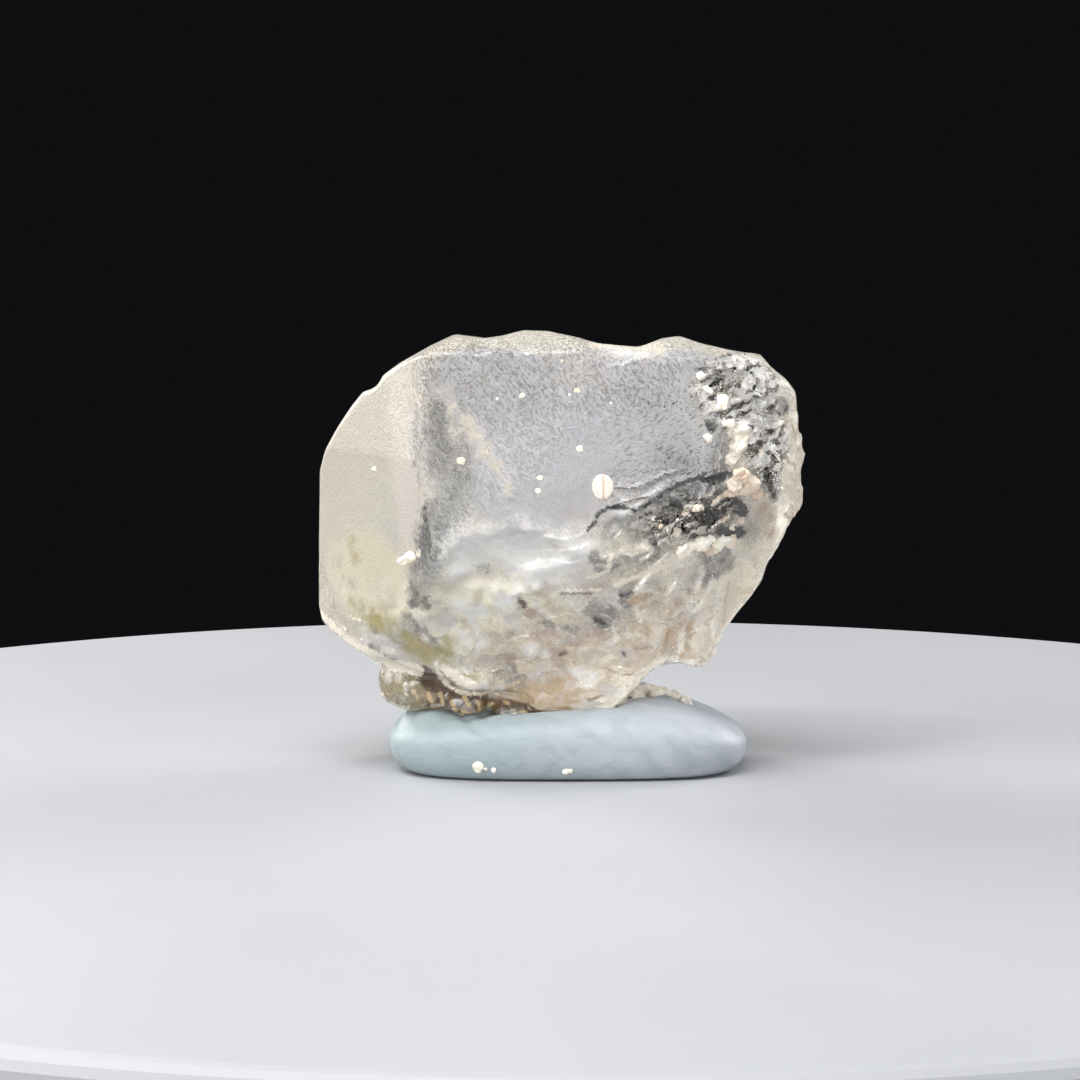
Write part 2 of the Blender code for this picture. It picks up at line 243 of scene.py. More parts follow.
# %% [markdown]
# ## The floor
# Clear crystal shows what is round it, so the surroundings are part of its look: a dark room keeps the
# middle of a clear face dark, and large soft lamps behind it light the frosted edges. The floor is a
# round pale plinth that ends behind the crystal, so that the dark room shows through the upper part.

# %% The floor
FLOOR_RADIUS = 45.0
FLOOR_THICKNESS = 4.0
FLOOR_EDGE = 0.8


def object_from(bm, name, material=None):
    mesh = bpy.data.meshes.new(name)
    bm.to_mesh(mesh)
    bm.free()
    made = bpy.data.objects.new(name, mesh)
    bpy.context.scene.collection.objects.link(made)
    if material:
        mesh.materials.append(material)
    return made


def pale_floor_finish():
    finish = Finish("pale plinth")
    shade = finish.blend(paint(150, 152, 157), paint(160, 162, 166), finish.grain(finish.at, (14, 14, 14)))
    return finish.output(finish.principled(Base_Color=shade, Roughness=0.55))


bm = bmesh.new()
bmesh.ops.create_cone(
    bm,
    cap_ends=True,
    segments=256,
    radius1=FLOOR_RADIUS * MM,
    radius2=FLOOR_RADIUS * MM,
    depth=FLOOR_THICKNESS * MM,
)
bmesh.ops.translate(bm, vec=Vector((0, 0, -FLOOR_THICKNESS / 2)) * MM, verts=bm.verts)
rim = [edge for edge in bm.edges if all(vert.co.z > -MM for vert in edge.verts)]
bmesh.ops.bevel(bm, geom=rim, offset=FLOOR_EDGE * MM, segments=4, profile=0.5, affect="EDGES", material=-1)
floor = object_from(bm, "plinth", pale_floor_finish())
floor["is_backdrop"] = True
print("floor faces:", len(floor.data.polygons))

# %% [markdown]
# ## The lamps
# A lamp could be a point, but glass and frost then show hard white dots. Rectangles of light, as in a
# photo studio, give the faces an even sheen instead. Two stand behind the crystal to light its frost from
# within, and one small box makes the sparkle of the pits. The world is nearly black, so the lamps are all
# that the crystal reflects.

# %% The lamps
# Each softbox: bearing and rise from the crystal, distance, width, height, watts and colour.
SOFTBOXES = {
    "overhead": (-20, 68, 150, 110, 90, 0.30, (1.0, 0.99, 0.97)),
    "left front": (-62, 24, 170, 90, 110, 0.18, (1.0, 0.98, 0.95)),
    "right front": (48, 18, 190, 70, 110, 0.09, (0.90, 0.95, 1.0)),
    "left back": (-128, 26, 150, 70, 100, 0.22, (1.0, 0.98, 0.95)),
    "right back": (122, 22, 150, 60, 100, 0.18, (1.0, 0.99, 0.97)),
    "low front": (-8, 3, 160, 140, 24, 0.10, (1.0, 0.98, 0.96)),
    "spark": (-38, 52, 140, 16, 16, 0.05, (1.0, 1.0, 1.0)),
}
for name, (azimuth, rise, away, wide, tall, watts, tint) in SOFTBOXES.items():
    light = bpy.data.lights.new(name, "AREA")
    light.shape = "RECTANGLE"
    light.size, light.size_y = wide * MM, tall * MM
    light.energy, light.color = watts, tint
    lamp = bpy.data.objects.new(name, light)
    lamp.location = AIM + around(azimuth, rise) * away * MM
    face_along(lamp, AIM - lamp.location)
    lamp.visible_camera = False
    bpy.context.scene.collection.objects.link(lamp)

room = bpy.data.worlds.new("dark room")
room.use_nodes = True
room.node_tree.nodes["Background"].inputs["Color"].default_value = (0.005, 0.005, 0.006, 1)
bpy.context.scene.world = room
bpy.context.scene.view_settings.view_transform = "Standard"
print("softboxes:", ", ".join(SOFTBOXES))

# %% [markdown]
# ## The crystal's surface
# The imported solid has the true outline, faces and chips in a few thousand triangles, too coarse for a
# close look. A voxel remesh gives it an even skin, the broken ground is smoothed so that the coarse
# triangles go, and then each kind of ground gets its own relief: ripples spread from where a chip
# started, the pitted corner is a jumble of tiny tilted facets, and the dark ledges are thin steps. The
# flat faces are hardly touched.

# %% An even skin on the crystal
SKIN = 0.085
SKIN_TRIANGLES = 190000
FACET_EDGE = 32.0


def copy_of(node, name):
    """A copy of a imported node, with its loose triangles joined."""
    bm = bmesh.new()
    bm.from_mesh(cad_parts[node].data)
    bmesh.ops.remove_doubles(bm, verts=bm.verts, dist=0.001 * MM)
    return object_from(bm, name)


def replaced_by(target, kind, **settings):
    """Gives the target the mesh that one modifier leaves."""
    step = target.modifiers.new(kind.lower(), kind)
    for name, value in settings.items():
        setattr(step, name, value)
    graph = bpy.context.evaluated_depsgraph_get()
    mesh = bpy.data.meshes.new_from_object(target.evaluated_get(graph))
    target.modifiers.clear()
    target.data = mesh


crystal = copy_of("phenakite_crystal", "etched_crystal")
replaced_by(crystal, "REMESH", mode="VOXEL", voxel_size=SKIN * MM)
print("crystal skin:", len(crystal.data.vertices), "vertices")

# %% [markdown]
# ## Broken ground
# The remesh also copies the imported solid's coarse triangles. On the flat faces they don't show, but on
# broken ground they would look like cut facets. Smoothing it all would round the edges between the growth
# faces, so only the vertices inside a few ellipsoids are smoothed. The same kind of ellipsoid places
# everything that follows.

# %% Broken ground
# Broken ground, which is smoothed first: centre and radii.
BROKEN = {
    "lower fracture": ((-0.4, -3.4, 5.9), (8.6, 3.8, 4.1)),
    "scallop": ((-1.6, -6.0, 8.6), (4.8, 2.2, 2.4)),
    "ledges": ((4.4, -4.8, 10.6), (4.2, 2.2, 2.0)),
    "pitted corner": ((7.0, -4.0, 15.0), (2.5, 3.0, 2.3)),
    "trough": ((6.9, -4.2, 12.9), (1.7, 2.2, 2.8)),
    "right wall": ((8.9, 0.6, 10.5), (2.0, 3.8, 5.6)),
    "hook": ((5.0, -1.6, 5.2), (2.6, 2.8, 2.8)),
    "back": ((0.0, 5.4, 9.0), (10.0, 3.4, 8.0)),
    "underside": ((-1.5, 0.0, 2.6), (8.6, 5.0, 2.4)),
}
SMOOTHINGS = 8


class Ball:
    """An ellipsoid, tilted about the viewing axis."""

    def __init__(self, centre, radii, tilt=0.0):
        self.centre = Vector(centre)
        self.turned = Matrix.Diagonal([1 / r for r in radii]) @ Matrix.Rotation(math.radians(-tilt), 3, "Y")

    def holds(self, point, start, end):
        """1 well inside, 0 outside, smooth between: where the reach goes from start to end, in radii."""
        t = min(max(((self.turned @ (point - self.centre)).length - end) / (start - end), 0.0), 1.0)
        return t * t * (3 - 2 * t)


def within(point, ball):
    return ball.holds(point, 0.65, 1.0)


bm = bmesh.new()
bm.from_mesh(crystal.data)
broken_balls = [Ball(*spot) for spot in BROKEN.values()]
broken = [v for v in bm.verts if any(within(v.co / MM, ball) > 0 for ball in broken_balls)]
for _ in range(SMOOTHINGS):
    bmesh.ops.smooth_vert(bm, verts=broken, factor=0.5, use_axis_x=True, use_axis_y=True, use_axis_z=True)
bm.normal_update()
print("broken ground:", len(broken), "of", len(bm.verts), "vertices")

# %% [markdown]
# ## The relief
# A chip in a hard mineral shows rings round the place where it started, an etched pit shows tilted
# facets, and a cleft shows thin level steps. Each could be sculpted, but a height worked out from a
# vertex's own place gives the same result on every run and can be changed with one number. Each height
# moves a vertex along its normal.

# %% The relief
# Ripples spread from where each chip started: centre, radii of the ground, spacing and height.
RIPPLES = {
    "scallop": ((-2.1, -7.0, 9.9), (3.4, 2.6, 2.6), 0.62, 0.012),
    "lower dish": ((4.2, -4.6, 7.2), (3.2, 3.0, 2.8), 0.80, 0.040),
    "lower dish left": ((-1.6, -5.6, 7.0), (2.8, 2.4, 2.4), 0.70, 0.035),
    "rings by the ledge": ((2.7, -5.2, 9.6), (1.9, 1.6, 1.3), 0.50, 0.030),
    "back scar": ((5.5, 5.0, 11.5), (5.0, 3.4, 5.0), 0.95, 0.012),
}
# Grainy ground: centre, radii, grain and height.
GRAINS = {
    "pitted corner": ((7.1, -4.0, 15.1), (2.1, 2.8, 1.6), 0.52, 0.34),
    "pits beside the clay": ((7.8, -3.2, 13.4), (1.2, 2.4, 1.9), 0.44, 0.28),
    "dark zone": ((5.0, -4.6, 10.3), (2.7, 1.8, 1.1), 0.75, 0.26),
    "chipped top edge": ((0.4, -4.6, 16.9), (6.8, 1.4, 0.8), 1.30, 0.09),
    "foot crystal": ((-5.9, -1.6, 3.4), (2.4, 2.2, 1.5), 1.10, 0.10),
    "brown hollow": ((-3.2, -1.8, 2.8), (2.6, 2.0, 0.9), 0.60, 0.12),
    "lower right": ((3.8, -2.8, 6.0), (3.4, 2.4, 2.6), 1.15, 0.15),
    "lower middle": ((-1.2, -3.8, 5.0), (3.6, 2.0, 2.2), 1.20, 0.12),
    "right wall": ((8.8, -0.4, 10.0), (1.8, 3.0, 5.0), 1.10, 0.10),
    "left of the chin": ((-8.4, -1.8, 6.2), (1.8, 2.0, 1.6), 0.60, 0.06),
}
# Thin steps that run level and rise to the right: centre, radii, spacing, height and rise per mm.
STEPS = {
    "ledges": ((4.4, -5.0, 11.2), (3.6, 1.8, 1.3), 0.62, -0.20, 0.28),
    "lower fracture": ((1.5, -3.2, 5.8), (5.6, 2.6, 2.8), 1.10, 0.07, -0.10),
    "scallop rim": ((-0.6, -5.4, 9.4), (4.4, 1.6, 1.0), 0.50, 0.04, 0.12),
}

# %% The height at a point of the crystal


def facet(point, size):
    """The height of a small facet that tilts its own way inside its own cell."""
    there = point / size
    seed = noise.voronoi(there)[1][0]
    tilt = noise.cell_vector(seed * 7.0)
    return (tilt * 2.0 - Vector((1, 1, 1))).dot(there - seed)


rippled, grained, stepped = [
    [(Ball(centre, radii), *rest) for centre, radii, *rest in table.values()]
    for table in (RIPPLES, GRAINS, STEPS)
]
cracked = Ball(*BROKEN["lower fracture"])
SWELL = 0.004
CRACK_HEIGHT = 0.05


def relief(point):
    """How far the ground stands out at a point of the crystal, in mm."""
    height = SWELL * noise.noise(point * 2.2)
    for ball, spacing, tall in rippled:
        share = within(point, ball)
        if share > 0:
            reach = (point - ball.centre).length + 0.25 * noise.noise(point * 0.9)
            height += share * tall * math.sin(math.tau * reach / spacing)
    for ball, size, tall in grained:
        share = within(point, ball)
        if share > 0:
            height += share * tall * facet(point, size)
    for ball, spacing, tall, rise in stepped:
        share = within(point, ball)
        if share > 0:
            level = (point.z - rise * point.x + 0.35 * noise.noise(point * 0.8)) / spacing
            height += share * tall * (level % 1.0 - 0.5)
    ground = within(point, cracked)
    if ground > 0:
        height += ground * CRACK_HEIGHT * (1 - 3 * abs(noise.noise(point * Vector((0.8, 0.8, 1.3)))))
    return height

# %% The skin with its relief
moves = [(vert, vert.normal * relief(vert.co / MM) * MM) for vert in bm.verts]
for vert, move in moves:
    vert.co += move
bmesh.ops.triangulate(bm, faces=bm.faces)
share_kept = SKIN_TRIANGLES / len(bm.faces)
bm.to_mesh(crystal.data)
bm.free()
replaced_by(crystal, "DECIMATE", decimate_type="COLLAPSE", ratio=share_kept)
crystal.data.shade_smooth()
crystal.data.set_sharp_from_angle(angle=math.radians(FACET_EDGE))
heights = [move.length / MM for vert, move in moves]
print("highest relief:", round(max(heights), 3), "mm; triangles:", len(crystal.data.polygons))

# %% [markdown]
# ## The crystal's finish
# Two shaders share the surface. One is the clear mineral: plain transmission at phenakite's refractive
# index, with a faint straw absorption inside. The other is the milky frost of the etched skin, together
# with the clay and iron stain rubbed into it. Both also carry painted shade, as dark frost and dark clear
# mineral, and painted highlights, as pale frost. A map of soft patches says how milky each place is and in
# which colour, and fine noises break every patch up so that no edge looks drawn.

# %% Colours of the frost
# CREAM also colours painted highlights on the chin rim and the lip and painted glints low on the rocky
# ground; ICE colours painted glints high on it.
CREAM = paint(226, 220, 208)
BEIGE = paint(214, 204, 188)
LAVENDER = paint(212, 212, 220)
# Painted grey shade.
PAINTED_SHADE_GREY = paint(146, 150, 154)
LILAC = paint(176, 174, 182)
ICE = paint(238, 238, 238)
ROSE = paint(206, 182, 166)
TAN = paint(168, 136, 100)
OLIVE = paint(150, 140, 78)
BROWN = paint(96, 62, 20)
# Painted shade: the black of the ledges' undersides in the dark zone.
PAINTED_SHADE_BLACK = paint(40, 40, 40)

# %% The patches
# Patches laid one over another: centre, radii, tilt about the viewing axis, softness, colour of the frost,
# how milky it is, how light the clear mineral under it is, and how rough.
PATCHES = {
    "left facets": ((-8.0, -2.4, 11.6), (2.5, 4.4, 6.4), 0, 0.10, CREAM, 0.56, 0.90, 0.40),
    "show face": ((0.6, -5.2, 13.6), (6.6, 3.0, 3.6), 0, 0.12, LAVENDER, 0.44, 0.86, 0.30),
    "upper left": ((-3.2, -5.2, 15.8), (2.6, 2.4, 1.5), 0, 0.2, paint(202, 206, 220), 0.42, 0.68, 0.30),
    "upper right": ((4.4, -4.8, 15.9), (2.6, 2.4, 1.3), 0, 0.2, paint(204, 207, 218), 0.44, 0.72, 0.30),
    # Painted highlight along the ridge between the left facets and the show face.
    "painted highlight on the ridge": ((-6.3, -4.8, 12.8), (0.55, 1.8, 4.2), -4, 0.6, paint(236, 228, 218), 0.66, 1.00, 0.35),
    "straw wedge": ((-7.9, -3.2, 7.9), (2.2, 3.2, 1.7), 18, 0.2, paint(224, 216, 190), 0.72, 0.95, 0.35),
    # Painted grey shade beside the show face and below it.
    "left of the show face": ((-4.7, -5.6, 12.4), (0.9, 1.6, 3.0), -4, 0.5, PAINTED_SHADE_GREY, 0.42, 0.70, 0.25),
    "band below it": ((-5.1, -5.4, 9.2), (0.45, 1.6, 1.7), 8, 0.4, PAINTED_SHADE_GREY, 0.36, 0.50, 0.20),
    "pale middle": ((0.6, -5.4, 13.2), (3.6, 2.0, 1.7), -12, 0.5, LAVENDER, 0.58, 0.90, 0.30),
    # Painted reflection: the pale putty shows in this chip as a bright window.
    "painted reflection in the scallop": ((-1.6, -5.8, 8.9), (3.4, 2.0, 1.5), 4, 0.4, paint(246, 246, 248), 0.94, 1.00, 0.20),
    "top bevel": ((0.6, -4.2, 17.3), (6.8, 1.6, 0.60), 0, 0.3, CREAM, 0.50, 0.95, 0.25),
    "grey slope": ((4.5, -5.2, 12.2), (2.6, 1.5, 0.8), -18, 0.6, paint(188, 188, 194), 0.54, 0.90, 0.15),
    "back face": ((-1.6, 5.8, 12.6), (5.4, 2.6, 3.4), 8, 0.3, LAVENDER, 0.40, 0.80, 0.28),
    "clear back facet": ((-6.4, 4.2, 9.6), (2.6, 3.0, 3.0), 0, 0.2, CREAM, 0.34, 0.90, 0.20),
    "clear back window": ((4.4, 5.6, 11.0), (2.8, 2.4, 2.2), -20, 0.4, ICE, 0.26, 0.85, 0.10),
    "back stain": ((1.0, 4.6, 5.2), (3.6, 2.4, 0.9), 14, 0.6, ROSE, 0.66, 0.80, 0.15),
    "back olive": ((-4.6, 4.2, 4.6), (2.0, 2.4, 0.6), -20, 0.6, OLIVE, 0.62, 0.60, 0.15),
    "clear top": ((1.6, 1.6, 16.6), (4.6, 3.0, 2.4), 0, 0.9, LAVENDER, 0.46, 0.90, 0.28),
    # Painted shade: the dark zone gets a dark frost and a dark clear mineral.
    "dark zone": ((5.0, -4.8, 10.3), (2.2, 1.8, 0.85), -16, 0.35, PAINTED_SHADE_BLACK, 0.16, 0.30, 0.05),
    "pitted corner": ((7.0, -4.4, 15.2), (2.1, 2.4, 1.4), 0, 0.3, LAVENDER, 0.10, 0.80, 0.04),
    "pits beside the clay": ((7.9, -3.6, 13.4), (1.2, 2.4, 1.9), 0, 0.3, LAVENDER, 0.16, 0.70, 0.06),
    "smooth slope": ((2.6, -4.9, 8.7), (2.6, 1.6, 0.6), -14, 0.5, BEIGE, 0.52, 0.80, 0.15),
    "right rim": ((8.8, -1.8, 10.6), (0.9, 3.0, 4.4), 10, 0.4, paint(226, 214, 196), 0.66, 1.00, 0.18),
    "lower right wall": ((6.6, -1.6, 7.6), (1.7, 2.8, 1.9), 0, 0.4, paint(238, 228, 204), 0.78, 1.00, 0.15),
    "rosy ground": ((2.4, -3.4, 6.0), (3.6, 2.2, 1.4), 0, 0.6, paint(222, 208, 190), 0.70, 0.94, 0.18),
    # Painted grey shade on the broken ground.
    "grey patch": ((1.4, -4.2, 6.4), (0.8, 1.6, 0.7), 0, 0.6, PAINTED_SHADE_GREY, 0.40, 0.50, 0.10),
    "straw belly": ((-3.2, -4.4, 6.6), (2.9, 2.0, 2.3), 0, 0.5, paint(246, 242, 220), 0.95, 1.00, 0.15),
    "cream belly": ((0.2, -3.6, 4.6), (4.2, 2.4, 2.2), 0, 0.5, paint(214, 198, 174), 0.72, 0.92, 0.15),
    "beige bulge": ((-1.2, -2.5, 3.0), (2.1, 1.5, 1.0), 0, 0.4, paint(164, 134, 98), 0.82, 0.55, 0.15),
    "olive stain": ((-6.6, -3.6, 5.5), (1.9, 1.8, 0.42), 33, 0.6, OLIVE, 0.70, 0.60, 0.12),
    "olive streak": ((-5.2, -4.0, 4.9), (1.2, 1.8, 0.30), 24, 0.6, OLIVE, 0.60, 0.60, 0.12),
    # Painted highlights along the chin's rim and the lip below it.
    "chin rim": ((-8.1, -2.2, 5.25), (1.5, 1.4, 0.17), 29, 0.5, CREAM, 0.85, 1.00, 0.10),
    "chin rim, lower": ((-6.5, -3.2, 4.5), (1.1, 1.4, 0.20), 30, 0.5, CREAM, 0.85, 1.00, 0.10),
    "lip": ((-4.1, -3.3, 4.1), (1.3, 1.2, 0.30), 26, 0.4, CREAM, 0.75, 1.00, 0.10),
    "foot crystal": ((-6.3, -2.2, 3.4), (1.6, 1.8, 0.95), 0, 0.3, paint(142, 130, 72), 0.58, 0.52, 0.05),
    # Iron brown, darkened by painted shade in the hollow at the foot.
    "brown hollow": ((-3.2, -2.2, 2.7), (2.6, 1.6, 0.50), 4, 0.4, paint(84, 52, 12), 0.88, 0.22, 0.06),
    "brown behind the foot": ((-4.9, -1.8, 3.5), (0.7, 1.6, 0.8), 0, 0.5, BROWN, 0.70, 0.35, 0.06),
}

# %% Ground with a texture of its own
# Ground that has a texture of its own: centre and radii.
KINDS = {
    "etched": [
        ((-3.4, -5.4, 14.6), (3.6, 2.6, 3.2)),
        ((0.8, -5.2, 15.9), (7.0, 2.4, 1.5)),
        ((-4.9, -5.6, 11.4), (1.2, 1.8, 3.0)),
    ],
    "dashed": [
        ((3.9, -5.0, 13.3), (3.2, 2.0, 1.9)),
    ],
    "rocky": [
        ((7.0, -4.2, 15.2), (2.1, 2.6, 1.5)),
        ((7.9, -3.6, 13.3), (1.2, 2.4, 2.0)),
        ((5.0, -4.8, 10.4), (2.4, 1.8, 1.0)),
    ],
    "broken": [
        ((-0.6, -2.0, 5.2), (9.0, 6.0, 3.6)),
        ((5.6, -1.0, 6.4), (3.4, 5.0, 3.4)),
        ((0.0, 6.2, 9.0), (12.0, 4.4, 9.0)),
    ],
}

# %% [markdown]
# ## Painting the ground
# Each patch could be a mask in the shader, but dozens of them would make every render slow. They are
# worked out once for each vertex instead, and kept on the mesh as attributes that the finish reads. The
# vertices lie a tenth of a millimetre apart, finer than the patches need, and the shader adds the grain
# that is finer still.

# %% The patches as attributes
WARPS = ((0.9, 1.6), (0.22, 0.35))


def ragged(point):
    """The point pushed about, so that a patch gets an uneven edge."""
    for amount, size in WARPS:
        point = point + noise.noise_vector(point / size) * amount * 0.5
    return point


patch_balls = [
    (Ball(centre, radii, tilt), soft, rest) for centre, radii, tilt, soft, *rest in PATCHES.values()
]
kind_balls = [[Ball(*spot) for spot in spots] for spots in KINDS.values()]


def ground_at(point, pushed):
    """The frost's colour, and how milky, how light and how rough the ground is."""
    cloud = 0.5 + 0.5 * noise.fractal(point / 2.6, 1.0, 2.0, 4)
    tone = Vector(BEIGE[:3]).lerp(Vector(CREAM[:3]), min(max(cloud, 0), 1))
    ground = Vector((0.42 + 0.2 * cloud, 0.92, 0.22))
    for ball, soft, (colour, *rest) in patch_balls:
        share = ball.holds(pushed, 1 - soft, 1 + soft)
        if share > 0:
            tone = tone.lerp(Vector(colour[:3]), share)
            ground = ground.lerp(Vector(rest), share)
    return tone, ground


def kinds_at(pushed):
    return [max(ball.holds(pushed, 0.75, 1.25) for ball in balls) for balls in kind_balls]


def clouds_at(point):
    """Slow noises from 0 to 1: stain, torn edges and shards."""
    bent = point + noise.noise_vector(point / 0.9) * 0.35
    stain = 0.5 + 0.5 * noise.fractal(bent / 0.75, 1.0, 2.0, 5)
    torn = 0.5 + 0.5 * noise.fractal(point / 0.5, 1.0, 2.0, 3)
    shard = noise.voronoi(Vector((bent.x + bent.z * 0.4, bent.y, bent.z * 2.0)) / 0.95)[1][0]
    return stain, torn, 0.5 + 0.5 * noise.cell(shard * 9.0)


def painted_on(piece, name, rows):
    """Keeps three numbers a vertex on the mesh, for the shader to read."""
    layer = piece.data.attributes.new(name, "FLOAT_VECTOR", "POINT")
    layer.data.foreach_set("vector", [v for row in rows for v in row])

# %% The attributes
points = [vert.co / MM for vert in crystal.data.vertices]
pushed = [ragged(point) for point in points]
grounds = [ground_at(*pair) for pair in zip(points, pushed)]
kinds = [kinds_at(point) for point in pushed]
painted_on(crystal, "tone", [tone for tone, ground in grounds])
painted_on(crystal, "ground", [ground for tone, ground in grounds])
painted_on(crystal, "kinds", [row[:3] for row in kinds])
painted_on(crystal, "breaks", [(row[3], point.z, 0.0) for row, point in zip(kinds, points)])
painted_on(crystal, "clouds", [clouds_at(point) for point in points])
print("patches:", len(PATCHES), "on", len(points), "vertices")

# %% [markdown]
# ## Strokes on the crystal
# The dark ledges, stains, cracks and bright edges are thin and lie where the photograph shows them, so
# they are drawn as strokes: points of the 1080 by 1080 picture joined by lines, with a half width. Every
# vertex that faces the camera is projected into the picture, and keeps how deep it lies inside the
# nearest stroke, counted in picture points. Such a depth changes evenly, so the shader can cut a sharp
# and ragged edge out of it.

# %% From the picture to the ground and back
PICTURE_SIDE = 1080
OUTSIDE = -9.0

to_camera = camera.rotation_euler.to_matrix().transposed()
REACH = lens.sensor_width / lens.lens


def ray_through(across, down):
    """The direction from the camera through a point of the picture."""
    ahead = Vector(((across / PICTURE_SIDE - 0.5) * REACH, (0.5 - down / PICTURE_SIDE) * REACH, -1.0))
    return (to_camera.transposed() @ ahead).normalized()


def in_picture(place):
    """Where a place shows in the picture."""
    seen = to_camera @ (place - camera.location)
    scale = PICTURE_SIDE / REACH / -seen.z
    return Vector((PICTURE_SIDE / 2 + seen.x * scale, PICTURE_SIDE / 2 - seen.y * scale, 0.0))

# %% The vertices that the camera sees
GLANCING = 0.12

shown = {}
for vert in crystal.data.vertices:
    if vert.normal.dot((camera.location - vert.co).normalized()) > GLANCING:
        shown[vert.index] = in_picture(vert.co)
picture_tree = KDTree(len(shown))
for index, spot in shown.items():
    picture_tree.insert(spot, index)
picture_tree.balance()
print("vertices that face the camera:", len(shown))

# %% [markdown]
# ## Dark strokes
# Under the show face, thin ledges overhang and their undersides look black, because no lamp shows in
# them. That black is painted shade, and the same painted shade marks the deepest pits of the corner. It
# could be left to the light, but the real ledges are about as thin as the skin's triangles.

# %% Dark strokes
# Each stroke: half width, then the points that it joins.
STROKES = {
    "dark_strokes": {
        # Painted black shade under the overhanging ledges and in the deepest pits.
        "painted_black_shade": [
            (1.8, (635, 511), (653, 501), (666, 491)),
            (2.8, (666, 491), (683, 483), (698, 478)),
            (3.0, (698, 478), (709, 480), (720, 480)),
            (1.6, (699, 476), (717, 470)),
            (4.2, (712, 479), (731, 474)),
            (1.4, (709, 486), (722, 480)),
            (1.6, (640, 518), (652, 512)),
            (2.6, (610, 507), (625, 507)),
            (2.0, (608, 508), (598, 514), (595, 522), (588, 530)),
            (1.2, (625, 507), (634, 511)),
            (5, (664, 534), (684, 528)),
            (8, (690, 532), (706, 524)),
            (7, (712, 516), (722, 506)),
            (7, (732, 502), (742, 510)),
            (6, (722, 532), (740, 532)),
            (3, (650, 540), (656, 546)),
            (1.5, (645, 538), (650, 541)),
            (2.2, (658, 524), (668, 520)),
            (5, (782, 402), (784, 408)),
            (4, (764, 419), (766, 421)),
            (3.4, (762, 436), (772, 432)),
            (2.6, (757, 442), (768, 440)),
            (5, (710, 422), (712, 428)),
            (3.6, (706, 382), (712, 384)),
            (3, (718, 389), (723, 387)),
            (3, (736, 390), (742, 389)),
            (3, (725, 371), (731, 369)),
            (2.0, (697, 371), (709, 368)),
            (1.8, (717, 358), (729, 355)),
            (2.4, (745, 382), (753, 386)),
            (2.2, (752, 400), (762, 396)),
            (3, (765, 470), (769, 484)),
            (3, (770, 486), (774, 496)),
            (1.8, (730, 408), (746, 404)),
            (2.2, (738, 376), (742, 372)),
            (1.6, (620, 596), (632, 592)),
            (3, (596, 620), (604, 624)),
            (1.5, (624, 653), (626, 656)),
            (2, (688, 505), (700, 500)),
        ],
    },
}

# %% [markdown]
# ## Soft strokes
# Painted grey shade lies along the left ridge and round the broken ground, and painted highlights make
# bright windows in the belly. They have no edge, so their finish fades them over several points of the
# picture.

# %% Soft strokes
STROKES.update({
    "soft_strokes": {
        "beige": [
            (7, (444, 392), (456, 414), (474, 434), (489, 458), (508, 486)),
            (6, (452, 412), (455, 440)),
            (8, (600, 345), (640, 352), (660, 352)),
            (4, (697, 389), (708, 400), (718, 409)),
            (12, (586, 658), (600, 650)),
            (5, (616, 584), (653, 571), (690, 555)),
            (5, (704, 598), (700, 650)),
            (5, (738, 578), (732, 614)),
            (4, (719, 604), (714, 655)),
            (4, (664, 600), (656, 640)),
            (4, (676, 590), (690, 570)),
        ],
        # Painted grey shade along the left ridge and round the broken ground.
        "painted_grey_shade": [
            (9, (440, 412), (432, 434)),
            (10, (444, 440), (438, 470)),
            (8, (462, 478), (446, 505)),
            (13, (436, 510), (428, 548)),
            (7, (425, 548), (414, 578)),
            (5, (413, 580), (414, 602)),
            (5, (487, 565), (478, 566)),
            (7, (595, 559), (602, 566)),
            (7, (616, 563), (646, 558)),
            (6, (655, 552), (676, 548)),
            (5, (662, 500), (700, 490)),
            (8, (706, 489), (720, 488)),
            (8, (627, 590), (626, 604)),
            (10, (597, 610), (601, 624)),
            (6, (612, 612), (608, 626)),
            (4, (631, 584), (638, 582)),
            (8, (706, 552), (722, 548)),
            (12, (706, 572), (724, 560)),
            (8, (740, 368), (770, 378)),
            (7, (766, 468), (772, 496)),
            (3, (338, 561), (338, 567)),
            (3, (349, 578), (350, 583)),
            (4, (425, 602), (426, 606)),
            (3, (407, 617), (420, 631)),
            (4, (425, 631), (432, 640)),
            (3, (371, 646), (394, 661), (409, 663)),
            (6, (496, 673), (512, 668)),
            (5, (512, 682), (522, 680)),
            (3, (545, 625), (575, 630)),
            (4, (502, 713), (520, 715)),
        ],
        # Painted highlights: bright windows in the belly.
        "painted_soft_highlight": [
            (6, (458, 551), (476, 543), (492, 537)),
            (9, (497, 537), (508, 540)),
            (20, (520, 562), (528, 570)),
            (8, (505, 545), (545, 550)),
            (6, (452, 575), (462, 568)),
            (7, (500, 605), (512, 602)),
            (8, (462, 632), (478, 640)),
            (6, (454, 604), (466, 610)),
            (4, (550, 560), (570, 556)),
            (5, (575, 668), (592, 676)),
            (4, (528, 648), (542, 655)),
            (5, (470, 620), (480, 612)),
            (4, (604, 646), (616, 640)),
            (6, (476, 560), (500, 556)),
        ],
    },
})

# %% [markdown]
# ## Warm strokes
# Iron and clay have stained the broken underside rose, tan and olive. Stain follows cracks, so it is
# drawn as short strokes and not as large patches.

